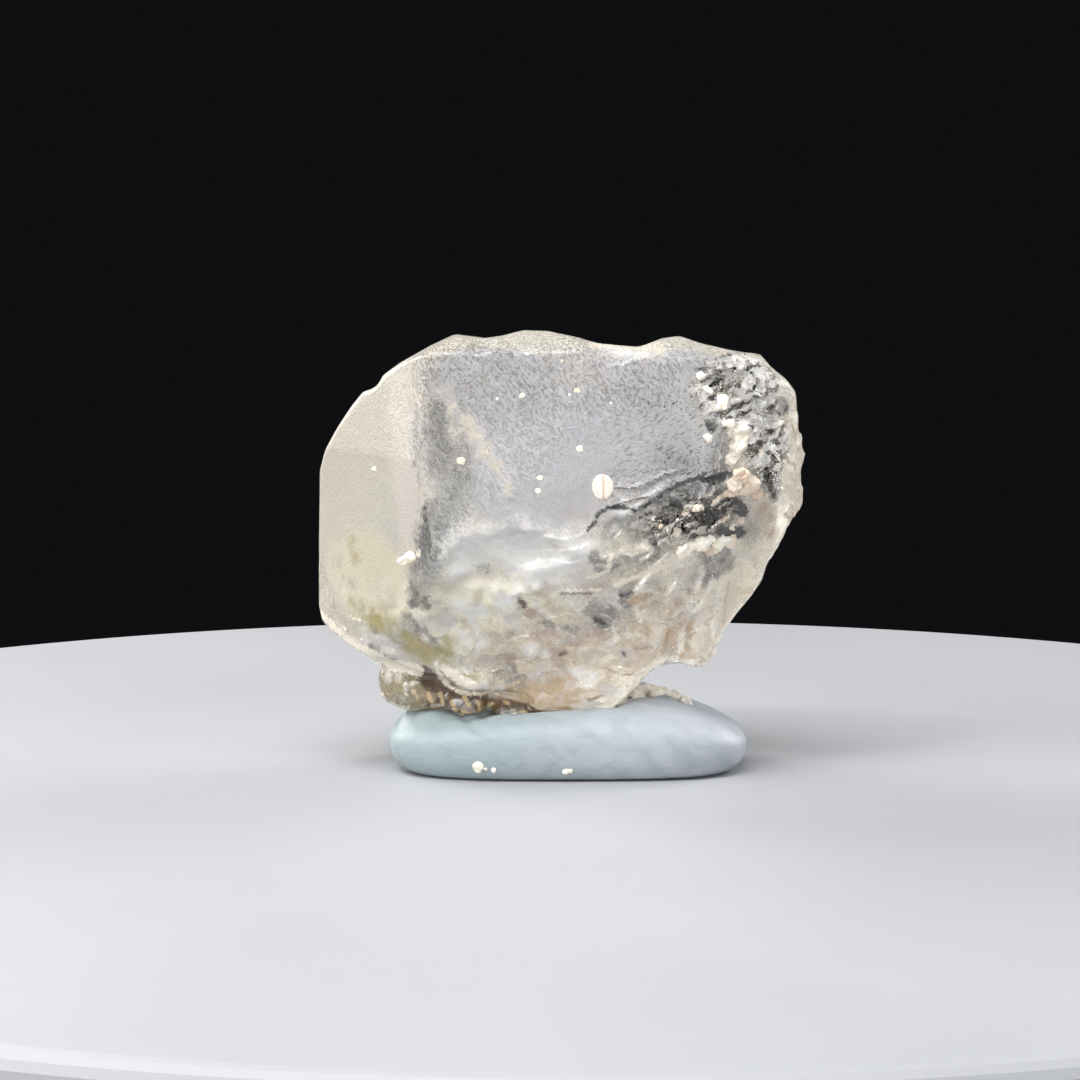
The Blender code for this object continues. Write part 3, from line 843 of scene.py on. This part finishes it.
# %% Warm strokes
STROKES.update({
    "warm_strokes": {
        "rose": [
            (7, (682, 604), (684, 620)),
            (6, (520, 608), (536, 618)),
            (5, (536, 632), (560, 637)),
            (5, (508, 655), (518, 660)),
            (3, (552, 670), (554, 684)),
            (3, (565, 680), (570, 700)),
            (4, (610, 676), (640, 660)),
            (5, (640, 654), (652, 648)),
            (8, (760, 500), (768, 530)),
            (4, (706, 622), (708, 638)),
            (3, (728, 606), (722, 624)),
            (4, (500, 640), (512, 634)),
            (6, (580, 640), (596, 636)),
            (2, (729, 580), (724, 612)),
            (2, (711, 604), (708, 640)),
            (3, (690, 606), (686, 640)),
            (7, (556, 655), (562, 662)),
        ],
        "tan": [
            (7, (668, 634), (666, 650)),
            (1.6, (691, 622), (688, 652)),
            (2.6, (700, 658), (682, 657)),
            (3, (737, 590), (728, 608)),
            (9, (640, 602), (656, 598)),
            (13, (520, 692), (552, 698)),
            (10, (556, 690), (566, 682)),
            (5, (662, 612), (672, 608)),
            (4, (645, 632), (654, 636)),
            (3, (600, 640), (606, 634)),
            (4, (586, 660), (592, 652)),
            (3, (728, 462), (742, 452)),
            (1.4, (727, 434), (722, 426), (730, 418), (742, 418), (752, 424), (753, 436)),
        ],
        "olive": [
            (7, (372, 615), (386, 624), (400, 632)),
            (5, (400, 632), (410, 640)),
            (8, (412, 644), (428, 654)),
            (4, (355, 600), (366, 610)),
            (1.8, (446, 640), (450, 648), (453, 656)),
            (2.2, (436, 656), (456, 668), (474, 679)),
            (2.0, (504, 574), (508, 577)),
            (1.6, (518, 580), (530, 584), (538, 589)),
            (2.0, (546, 582), (548, 588)),
            (1.2, (551, 544), (560, 548), (572, 555)),
            (2.0, (352, 540), (356, 560)),
        ],
    },
})

# %% [markdown]
# ## Rich strokes
# The hollow at the foot is brown glass, darkened by painted shade, with golden ribs given as painted glints,
# and chipped edges all round get pale lines of painted highlight. These keep a sharp edge, so they are a
# group of their own.

# %% Rich strokes
STROKES.update({
    "rich_strokes": {
        # Painted glints on the golden ribs of the hollow.
        "painted_gold_glint": [
            (1.8, (428, 693), (432, 702)),
            (1.8, (440, 694), (443, 703)),
            (2.0, (452, 702), (455, 710)),
            (2.0, (464, 697), (469, 705)),
            (1.6, (462, 712), (476, 714)),
            (1.8, (486, 709), (493, 703)),
            (1.4, (504, 701), (509, 704)),
            (1.5, (477, 702), (480, 710)),
            (1.3, (414, 690), (418, 699)),
            (1.6, (521, 711), (526, 713)),
        ],
        # Iron brown, darkened by painted shade, mostly in the hollow at the foot.
        "brown": [
            (9, (424, 674), (432, 684)),
            (5, (440, 684), (456, 694), (484, 696)),
            (5, (505, 703), (522, 707)),
            (4, (524, 708), (540, 715)),
            (3.4, (440, 700), (450, 704)),
            (2, (455, 712), (462, 712)),
            (1.8, (561, 593), (592, 593)),
            (1.4, (588, 700), (602, 696)),
            (3, (520, 600), (524, 606)),
            (2, (560, 655), (566, 652)),
            (3, (472, 702), (478, 708)),
        ],
        # Painted highlights along the chipped edges and rims.
        "pale": [
            (3.0, (320, 612), (330, 623), (348, 640), (365, 650)),
            (4.2, (365, 650), (379, 657), (393, 666)),
            (5.5, (393, 666), (406, 667), (418, 671)),
            (2.2, (372, 662), (373, 681), (386, 704), (405, 712)),
            (1.0, (405, 683), (406, 697)),
            (0.8, (413, 682), (413, 694)),
            (2.0, (388, 703), (400, 708), (408, 708)),
            (1.8, (436, 662), (438, 672), (447, 685), (457, 691), (470, 694), (482, 694), (493, 689)),
            (4.2, (444, 668), (458, 679), (474, 686)),
            (3.4, (468, 582), (484, 580), (500, 575)),
            (3.4, (400, 561), (409, 558), (418, 553)),
            (2.2, (588, 578), (600, 575), (607, 571), (611, 559)),
            (2.6, (616, 584), (653, 571), (690, 555)),
            (3.2, (628, 682), (645, 671), (661, 660)),
            (2.0, (661, 660), (676, 657)),
            (1.6, (644, 677), (659, 666), (673, 663), (682, 666), (690, 668), (706, 665)),
            (1.6, (741, 604), (722, 632), (714, 652)),
            (3.0, (604, 660), (612, 656)),
            (4, (770, 426), (776, 424)),
            (3, (784, 418), (796, 414)),
            (2.2, (768, 441), (782, 437)),
            (3.6, (750, 381), (762, 379)),
            (3.0, (700, 375), (704, 378)),
            (2.2, (706, 387), (712, 392)),
            (4.0, (722, 518), (726, 515)),
            (2.6, (731, 528), (734, 526)),
            (2.8, (740, 521), (742, 520)),
            (3.0, (675, 532), (678, 529)),
            (2.4, (658, 528), (661, 526)),
            (2.6, (662, 517), (670, 514)),
            (2.8, (684, 513), (704, 505)),
            (3.0, (709, 507), (722, 497), (736, 493)),
            (1.4, (560, 591), (600, 590)),
            (2.6, (682, 636), (681, 648)),
            (2.6, (696, 630), (694, 646)),
            (2.4, (698, 390), (708, 399), (718, 409)),
        ],
    },
})

# %% How deep each vertex lies in the strokes


def depth_in(strokes):
    """For each vertex, how deep it lies inside the nearest of these strokes, in picture points."""
    depth = [OUTSIDE] * len(crystal.data.vertices)
    for wide, *line in strokes:
        ends = [Vector((*spot, 0.0)) for spot in line]
        for start, end in zip(ends, ends[1:] or ends):
            along = end - start
            near = picture_tree.find_range((start + end) / 2, along.length / 2 + wide - OUTSIDE)
            for spot, index, _ in near:
                share = min(max((spot - start).dot(along) / max(along.length_squared, 1e-6), 0.0), 1.0)
                depth[index] = max(depth[index], wide - (spot - start - along * share).length)
    return depth


for name, group in STROKES.items():
    depths = [depth_in(strokes) for strokes in group.values()]
    # An attribute holds three numbers, so where a group has fewer kinds, the first kind fills the rest.
    painted_on(crystal, name, zip(*(depths + [depths[0]] * 3)[:3]))
    print(name, {kind: len(strokes) for kind, strokes in group.items()})

# %% [markdown]
# ## The crystal's own shader
# The real surface is clear in one place and milky in the next. One Principled shader with a changing
# transmission could do that, but transmission is not among the sockets that may vary here, so a Mix. One
# Principled shader with a changing transmission could do that, but here the transmission is kept constant,
# so a Mix Shader chooses between a clear shader and a frosted one point by point. Fine noises act as hatch,
# speckle, dashes and small facets. They feed only the mix, the colours and the bump.

# %% The finish of the crystal
# How each kind of stroke looks: colour of the frost, how milky, how light the clear mineral is, how soft its
# edge is in picture points, and how frayed.
STROKE_LOOKS = {
    # Painted grey shade.
    "painted_grey_shade": (paint(112, 114, 118), 0.45, 0.45, 3.5, 1.0),
    "rose": (paint(176, 150, 134), 0.75, 0.70, 3.5, 1.0),
    "tan": (paint(172, 142, 104), 0.85, 0.70, 3.5, 1.0),
    "olive": (paint(158, 144, 80), 0.80, 0.60, 6.0, 1.0),
    # Painted soft highlights.
    "painted_soft_highlight": (paint(250, 251, 252), 0.94, 1.00, 5.0, 1.0),
    "beige": (paint(226, 216, 200), 0.76, 0.95, 5.0, 1.0),
    # Iron brown darkened by painted shade.
    "brown": (paint(58, 32, 4), 0.92, 0.08, 1.6, 0.65),
    # Painted edge highlights.
    "pale": (paint(246, 238, 222), 0.92, 1.00, 1.2, 1.0),
    # Painted gold glints.
    "painted_gold_glint": (paint(232, 200, 138), 0.80, 1.00, 1.2, 0.65),
    # Painted black shade: a dark frost over an almost black clear mineral.
    "painted_black_shade": (paint(30, 30, 32), 0.55, 0.02, 1.2, 1.0),
}

# %% The mineral and its marks
# The mineral: its refractive index, and how its depth tints the light.
INDEX = 1.654
TINT = (0.98, 0.96, 0.88, 1.0)
TINT_DENSITY = 45.0
# How far the strokes' edges are pushed about, in picture points: a fine fray and a coarse tear.
FRAY = 8.0
TEAR = 9.0
# The etch marks' height in mm, and the slant of the hatch and of the dashes, in degrees.
ETCH_HEIGHT = 0.02
HATCH_SLANT = -38
DASH_SLANT = -30
# Above this height, in mm, the rocky ground is glassy, with many ice-white painted glints. Below it, it is
# dark with painted shade, with fewer painted glints in cream.
CORNER_FROM = 11.9
CORNER_TO = 12.6

# %% The shader


def phenakite_finish():
    """Clear mineral under frost, with everything that is painted on it."""
    finish = Finish("etched phenakite")
    at = finish.at
    colour = finish.painted("tone")
    milk, light, rough = finish.split(finish.painted("ground"))
    etch, dashes, rocky = finish.split(finish.painted("kinds"))
    broken, z = finish.split(finish.painted("breaks"))[:2]
    # Broken ground: shards of different milkiness, with tan and pale stain.
    stain, torn, shard = finish.split(finish.painted("clouds"))
    milk = milk + broken * (shard - 0.5) * 0.4
    light = light + broken * (shard - 0.6) * 0.3
    colour = finish.blend(colour, TAN, finish.ramp(stain, 0.56, 0.76) * broken * 0.45)
    colour = finish.blend(colour, ICE, finish.ramp(stain, 0.44, 0.28) * broken * 0.6)
    colour = finish.blend(colour, LILAC, finish.ramp(shard, 0.70, 0.76) * broken * 0.45)

    # The strokes, cut out of the depths that the vertices keep.
    frayed = (finish.grain(at, (0.16, 0.16, 0.16), detail=2.0, shift=1.7) - 0.5) * FRAY
    patchy = 0.35 + 0.55 * finish.ramp(torn, 0.38, 0.60)
    torn = frayed + (torn - 0.5) * TEAR
    depths = {}
    for name, group in STROKES.items():
        depths.update(zip(group, finish.split(finish.painted(name))))
    for kind, (tone, milky, lightness, soft, fray) in STROKE_LOOKS.items():
        mask = finish.ramp(depths[kind] + (frayed if soft < 2 else torn) * fray, -soft, soft)
        colour = finish.blend(colour, tone, mask * (0.95 if soft < 2 else patchy))
        milk = milk + mask * (milky - milk)
        light = light + mask * (lightness - light)

    # Rocky ground: small facets, painted either bright as glints or dark as shade.
    shaken = finish.warped(at, 0.3, 0.35)
    sparkle = finish.cells(shaken, (0.56, 0.56, 0.20), (0, DASH_SLANT, 0))
    splinter = finish.cells(shaken, (0.26, 0.26, 0.10), (0, DASH_SLANT, 0), 3.0)
    facet = sparkle * 0.75 + splinter * 0.25
    corner = finish.ramp(z, CORNER_FROM, CORNER_TO)
    dim = 0.66 - 0.37 * corner
    bright = finish.ramp(facet - dim, 0.0, 0.10)
    milk = milk + rocky * (finish.ramp(facet - dim, 0.0, 0.25) * 0.9 - milk) * 0.85
    light = light + rocky * (0.02 + bright * 0.98 - light) * 0.9
    colour = finish.blend(colour, ICE, rocky * bright * corner * 0.85)
    colour = finish.blend(colour, CREAM, rocky * bright * (1 - corner))

    # Etch marks everywhere, stronger on the etched ground, and short dashes on the dashed ground.
    hatch = finish.grain(at, (0.10, 0.10, 0.24), (0, HATCH_SLANT, 0), detail=1.0)
    speckle = finish.grain(at, (0.09, 0.09, 0.09), detail=1.0, shift=3.1)
    etched = finish.ramp(hatch * 0.5 + speckle * 0.5, 0.40, 0.60) - 0.5
    milk = milk + etched * (0.14 + 0.24 * etch)
    light = light + etched * (0.14 + 0.46 * etch)
    dash = finish.grain(at, (0.28, 0.14, 0.075), (0, DASH_SLANT, 0), detail=1.0, shift=7.0)
    pits = finish.ramp(dash, 0.58, 0.64) * dashes
    milk = milk - pits * 0.20
    light = light - pits * 0.65

    # The two grounds and their mix.
    bumped = finish.bump(hatch + speckle, ETCH_HEIGHT * MM)
    # The clear mineral's colour goes from black to white with how light the ground is: near black under
    # painted shade, and varied by etch marks and shards.
    clear = finish.principled(
        Base_Color=finish.blend(paint(0, 0, 0), paint(255, 255, 255), light),
        Roughness=rough,
        IOR=INDEX,
        Transmission_Weight=1.0,
        Normal=bumped,
    )
    frost = finish.principled(
        Base_Color=colour,
        Roughness=0.7,
        IOR=INDEX,
        Transmission_Weight=0.5,
        Coat_Weight=0.15 + 0.6 * broken,
        Coat_Roughness=0.12,
        Coat_IOR=INDEX,
        Normal=bumped,
    )
    share = finish.ramp(milk, 0.0, 1.0)
    skin = finish.node("ShaderNodeMixShader", None, {0: share, 1: clear, 2: frost})
    tint = finish.node("ShaderNodeVolumeAbsorption", None, {"Color": TINT, "Density": TINT_DENSITY})
    return finish.output(Wire(finish, skin.outputs[0]), Wire(finish, tint.outputs[0]))

# %% The crystal, dressed
crystal.data.materials.clear()
crystal.data.materials.append(phenakite_finish())
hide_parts("phenakite_crystal")
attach(crystal, "root")
print("finish:", crystal.data.materials[0].name)

# %% [markdown]
# ## The putty
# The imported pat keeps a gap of 0.3 mm under the crystal, as separate solids must. The real putty is
# pressed against it, so a finer copy of the pat is raised wherever the crystal stands just over it.
# Fingers left shallow ridges along its front.

# %% The pat of putty
# The raised putty stops TOUCH mm short of the crystal. Ground nearer to it than NEAR is raised in full, and
# ground further off than FAR not at all. SPREAD is how many times the rise is evened out.
TOUCH = 0.02
NEAR = 0.42
FAR = 0.95
SPREAD = 12
# The fold, between two points of the picture: its half width in picture points and its depth in mm.
FOLD = (Vector((452, 706)), Vector((488, 740)))
FOLD_WIDTH = 4.0
FOLD_DEPTH = 0.10

stone = bmesh.new()
stone.from_mesh(crystal.data)
stone_tree = BVHTree.FromBMesh(stone)
stone.free()

# %% The putty, raised to the crystal
putty = copy_of("putty_pat", "putty")
replaced_by(putty, "SUBSURF", levels=2, render_levels=2)
bm = bmesh.new()
bm.from_mesh(putty.data)
bm.normal_update()
room_over = {}
for vert in bm.verts:
    hit = stone_tree.ray_cast(vert.co, Vector((0, 0, 1)))[0] if vert.normal.z > 0 else None
    room_over[vert] = (hit.z - vert.co.z) / MM - TOUCH if hit else FAR
rise = {v: room * min(max((FAR - room) / (FAR - NEAR), 0), 1) for v, room in room_over.items()}
for _ in range(SPREAD):
    beside = {v: sum(rise[e.other_vert(v)] for e in v.link_edges) / len(v.link_edges) for v in bm.verts}
    rise = {v: min((rise[v] + beside[v]) / 2, room_over[v]) for v in bm.verts}
for vert, up in rise.items():
    vert.co.z += up * MM
    shown_at = in_picture(vert.co)
    if vert.co.y < 0:
        nearest, share = geometry.intersect_point_line(shown_at.xy, *FOLD)
        aside = math.dist(shown_at.xy, nearest.xy)
        if 0 < share < 1:
            fade = math.exp(-((aside / FOLD_WIDTH) ** 2))
            bow = math.sin(math.pi * share)
            vert.co -= vert.normal * FOLD_DEPTH * MM * fade * bow
bm.to_mesh(putty.data)
bm.free()
putty.data.shade_smooth()
print("putty:", len(putty.data.polygons), "faces, raised by up to", round(max(rise.values()), 2), "mm")

# %% [markdown]
# ## The putty's finish
# The putty is one matt mass, greener at the left and bluer at the right, with grey smears where it was
# kneaded. A plain Principled shader is enough, because so little light passes through a lump this thick.
# The slanting ridges and fine pores are too low to be worth moving vertices, so they are bump.

# %% The putty's finish


def putty_finish():
    finish = Finish("display putty")
    x = finish.split(finish.at)[0]
    colour = finish.blend(paint(142, 156, 160), paint(164, 169, 178), finish.ramp(x, -5.0, 5.0))
    smear = finish.grain(finish.at, (1.1, 1.0, 0.6), (0, 20, 0), detail=5.0)
    colour = finish.blend(colour, paint(126, 138, 142), finish.ramp(smear, 0.40, 0.72) * 0.45)
    ridges = finish.grain(finish.at, (1.6, 0.5, 0.30), (0, -36, 0), detail=1.0)
    pores = finish.grain(finish.at, (0.16, 0.16, 0.16), detail=3.0)
    bumped = finish.bump(ridges * 0.5 + pores * 0.5, 0.035 * MM)
    return finish.output(finish.principled(Base_Color=colour, Roughness=0.5, Normal=bumped))


putty.data.materials.clear()
putty.data.materials.append(putty_finish())
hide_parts("putty_pat")
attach(putty, "root")
print("finish:", putty.data.materials[0].name)

# %% [markdown]
# ## Small matter on the two pieces
# White clay still fills the crystal's pits. Each fill is pressed from a few blobs. They are placed by
# where they show in the photograph: a ray from the camera through that point finds the ground, so a blob
# always sits on the crystal and lies flat against it. Balls alone would look like beads, so a remesh
# joins them under one skin and a noise makes that skin uneven.

# %% Blobs pressed on the ground
pat = bmesh.new()
pat.from_mesh(putty.data)
putty_tree = BVHTree.FromBMesh(pat)
pat.free()


def blobs_on(tree, spots, thickness, sink):
    """A bmesh of flattened balls, each lying on the ground behind its spot of the picture.

    A spot is its place across and down, its half width and half height, and its turn in the picture."""
    bm = bmesh.new()
    for across, down, wide, tall, turn in spots:
        place, normal, face, away = tree.ray_cast(camera.location, ray_through(across, down))
        pixel = away * REACH / PICTURE_SIDE
        ball = bmesh.ops.create_icosphere(bm, subdivisions=3, radius=1.0)["verts"]
        thick = thickness * min(wide, tall) * pixel
        out = (normal - 1.5 * ray_through(across, down)).normalized()
        lie = out.to_track_quat("Z", "Y").to_matrix() @ Matrix.Rotation(math.radians(turn), 3, "Z")
        bmesh.ops.scale(bm, vec=(wide * pixel, tall * pixel, thick), verts=ball)
        bmesh.ops.rotate(bm, matrix=lie, verts=ball)
        bmesh.ops.translate(bm, vec=place - out * thick * sink, verts=ball)
    return bm


def lumpy(piece, skin, size, tall):
    """Joins a piece's blobs under one skin and makes it uneven."""
    replaced_by(piece, "REMESH", mode="VOXEL", voxel_size=skin * MM)
    bm = bmesh.new()
    bm.from_mesh(piece.data)
    bm.normal_update()
    for vert in bm.verts:
        there = vert.co / MM / size
        uneven = noise.noise(there) + 0.5 * noise.noise(there * 2.1)
        vert.co += vert.normal * uneven * tall * MM
    bm.to_mesh(piece.data)
    bm.free()
    piece.data.shade_smooth()


GRIT_HEIGHT = 0.04


def clay_finish(name, light, dark, stain, line_at=None):
    """Chalky clay, with one upright line of stain where the object's x is line_at mm."""
    finish = Finish(name)
    clouds = finish.grain(finish.at, (0.5, 0.5, 0.5), detail=4.0)
    colour = finish.blend(dark, light, finish.ramp(clouds, 0.35, 0.6))
    spots = finish.grain(finish.at, (0.22, 0.22, 0.22), detail=3.0, shift=6.0)
    colour = finish.blend(colour, stain, finish.ramp(spots, 0.60, 0.74) * 0.5)
    if line_at is not None:
        beside_line = finish.maths("ABSOLUTE", finish.split(finish.at)[0] - line_at)
        colour = finish.blend(colour, stain, finish.ramp(beside_line, 0.07, 0.02) * 0.8)
    grit = finish.grain(finish.at, (0.07, 0.07, 0.07), detail=3.0)
    gritty = finish.bump(grit, GRIT_HEIGHT * MM)
    return finish.output(finish.principled(Base_Color=colour, Roughness=0.85, Normal=gritty))

# %% [markdown]
# ## The clay fills
# The real clay has two colours: chalk white in the pits, and rosy where iron got into it. They touch, so
# they could be one mesh with a mask, but two meshes keep each finish plain.

# %% The clay fills
# Each blob: place across and down the picture, half width and half height in picture points, and its turn.
CHALK = paint(248, 242, 232)
CLAY_FILLS = [
    (737, 430, 15, 12, 0),
    (744, 430, 8, 11, 0),
    (739, 444, 9, 9, 0),
    (734, 454, 6, 9, 10),
    (729, 461, 5, 5, 0),
    (729, 424, 7, 5, 0),
    (722, 403, 6, 9, 0),
    (718, 396, 4, 4, 0),
    (702, 376, 5, 4, 0),
    (708, 389, 6, 3, -35),
    (682, 551, 9, 7, 10),
    (691, 546, 7, 6, 0),
    (701, 543, 10, 8, 0),
    (710, 539, 6, 5, 0),
    (717, 545, 6, 5, 0),
    (723, 540, 7, 6, 0),
    (409, 558, 13, 6, 26),
    (760, 454, 4, 4, 0),
    (708, 438, 5, 4, 0),
    (776, 425, 7, 3, 25),
]
ROSY_FILLS = [
    (741, 475, 9, 8, 0),
    (751, 484, 8, 10, 0),
    (734, 485, 8, 7, 0),
    (757, 495, 6, 5, 0),
    (730, 493, 8, 4, 20),
    (745, 491, 9, 5, 0),
    (716, 501, 8, 3, 40),
    (731, 541, 7, 8, 0),
    (711, 551, 8, 4, 15),
    (697, 508, 7, 3, 22),
    (685, 513, 5, 3, 22),
    (723, 519, 7, 3, 35),
    (732, 528, 3, 3, 0),
    (741, 521, 4, 3, 0),
    (676, 531, 5, 5, 0),
    (661, 527, 3, 3, 0),
]

CLAY_SKIN = 0.04

clay = object_from(blobs_on(stone_tree, CLAY_FILLS, 0.55, -0.7), "clay_fills")
lumpy(clay, CLAY_SKIN, 0.26, 0.10)
clay.data.materials.append(
    clay_finish("white clay", CHALK, paint(238, 228, 210), paint(212, 190, 160))
)
rosy = object_from(blobs_on(stone_tree, ROSY_FILLS, 0.45, -0.6), "rosy_clay")
lumpy(rosy, CLAY_SKIN, 0.24, 0.09)
rosy.data.materials.append(
    clay_finish("rosy clay", paint(232, 220, 204), paint(212, 188, 168), paint(160, 126, 106))
)
for piece in (clay, rosy):
    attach(piece, "root")
for piece, spots in ((clay, CLAY_FILLS), (rosy, ROSY_FILLS)):
    print(piece.name, "has", len(spots), "blobs and", len(piece.data.polygons), "faces")

# %% [markdown]
# ## The round disc and the specks
# One disc of chalk, almost a perfect circle, is stuck to the show face, with a brown line down its
# middle. It is a single flat ball, and the line is in its finish, because it is only colour. The specks
# are tiny grains of the same matter, scattered over the faces.

# %% The round disc and the specks
DISC = [(602, 487, 12, 13, 0)]
SPECKS = [
    (580, 449, 4, 4, 0),
    (577, 391, 4, 3, 0),
    (522, 396, 4, 3, 20),
    (461, 461, 5, 4, 0),
    (540, 478, 4, 3, 0),
    (538, 491, 4, 3, -20),
    (375, 469, 4, 3, 0),
    (527, 354, 3, 2, 0),
    (570, 395, 2, 2, 0),
    (562, 361, 2, 2, 0),
    (611, 403, 2, 2, 0),
    (497, 399, 2, 2, 0),
]
disc = object_from(blobs_on(stone_tree, DISC, 0.16, 0.1), "chalk_disc")
disc.data.shade_smooth()
DISC_LINE = sum(vert.co.x for vert in disc.data.vertices) / len(disc.data.vertices) / MM + 0.05
disc.data.materials.append(
    clay_finish("chalk disc", paint(226, 218, 210), paint(214, 202, 192), paint(196, 160, 140), DISC_LINE)
)
specks = object_from(blobs_on(stone_tree, SPECKS, 0.45, 0.3), "clay_specks")
lumpy(specks, 0.035, 0.12, 0.025)
specks.data.materials.append(
    clay_finish("cream specks", paint(236, 232, 214), paint(214, 210, 180), paint(190, 180, 140))
)
for piece in (disc, specks):
    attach(piece, "root")
print("specks:", len(SPECKS))

# %% [markdown]
# ## A dry flake on the putty
# A dry, whitish flake lies on top of the putty, at the right of the crystal. The camera sees it almost
# edge on, so its parts are given in mm from above instead, and dropped on the putty by a ray that goes
# straight down.

# %% A dry flake on the putty
# Each part of the flake, in mm: place across and back, half width and half depth.
FLAKE = [
    (2.2, 0.3, 0.60, 0.34),
    (2.8, 0.5, 0.50, 0.36),
    (3.3, 0.5, 0.48, 0.34),
    (3.8, 0.3, 0.50, 0.34),
    (4.3, 0.0, 0.46, 0.30),
    (4.7, -0.5, 0.40, 0.26),
    (3.5, -0.2, 0.40, 0.26),
    (2.9, -0.1, 0.36, 0.24),
]
FLAKE_THICKNESS = 0.22
bm = bmesh.new()
for across, back, wide, deep in FLAKE:
    over = Vector((across * MM, back * MM, 20 * MM))
    place, normal, face, away = putty_tree.ray_cast(over, Vector((0, 0, -1)))
    ball = bmesh.ops.create_icosphere(bm, subdivisions=3, radius=1.0)["verts"]
    bmesh.ops.scale(bm, vec=Vector((wide, deep, FLAKE_THICKNESS)) * MM, verts=ball)
    bmesh.ops.rotate(bm, matrix=normal.to_track_quat("Z", "Y").to_matrix(), verts=ball)
    bmesh.ops.translate(bm, vec=place + normal * 0.06 * MM, verts=ball)
flake = object_from(bm, "dry_flake")
lumpy(flake, 0.05, 0.22, 0.08)
flake.data.materials.append(
    clay_finish("dry flake", paint(230, 226, 216), paint(196, 190, 180), paint(170, 150, 124))
)
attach(flake, "root")
print("flake parts:", len(FLAKE))

# %% [markdown]
# ## Crumbs at the putty's foot
# A few crumbs of dry clay sit at the putty's foot. Here they are stuck to it, so that they belong to the
# part. They are blobs as well, but nearly round, and nothing of them may reach under the surface that the
# part stands on.

# %% Crumbs at the putty's foot
CRUMBS = [
    (478, 767, 5.5, 6.0, 0),
    (486, 769, 2.0, 2.0, 0),
    (494, 770, 2.5, 2.5, 0),
    (566, 772, 3.5, 3.5, 0),
    (571, 771, 2.0, 2.0, 0),
]
crumbs = object_from(blobs_on(putty_tree, CRUMBS, 0.85, 0.1), "crumbs")
lumpy(crumbs, 0.03, 0.20, 0.05)
for vert in crumbs.data.vertices:
    vert.co.z = max(vert.co.z, 0.0)
crumbs.data.materials.append(
    clay_finish("crumbs", paint(240, 236, 224), paint(224, 216, 198), paint(196, 180, 150))
)
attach(crumbs, "root")
print("crumbs:", len(CRUMBS))

# %% [markdown]
# ## The finished model's size
# The dressed model must stay inside the imported one, so both boxes are printed.

# %% Sizes
visual_box = [list(corner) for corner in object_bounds()]
for name, box in (("packed", cad_box), ("dressed", visual_box)):
    print(name, "box in mm:", [[round(v / MM, 2) for v in corner] for corner in box])
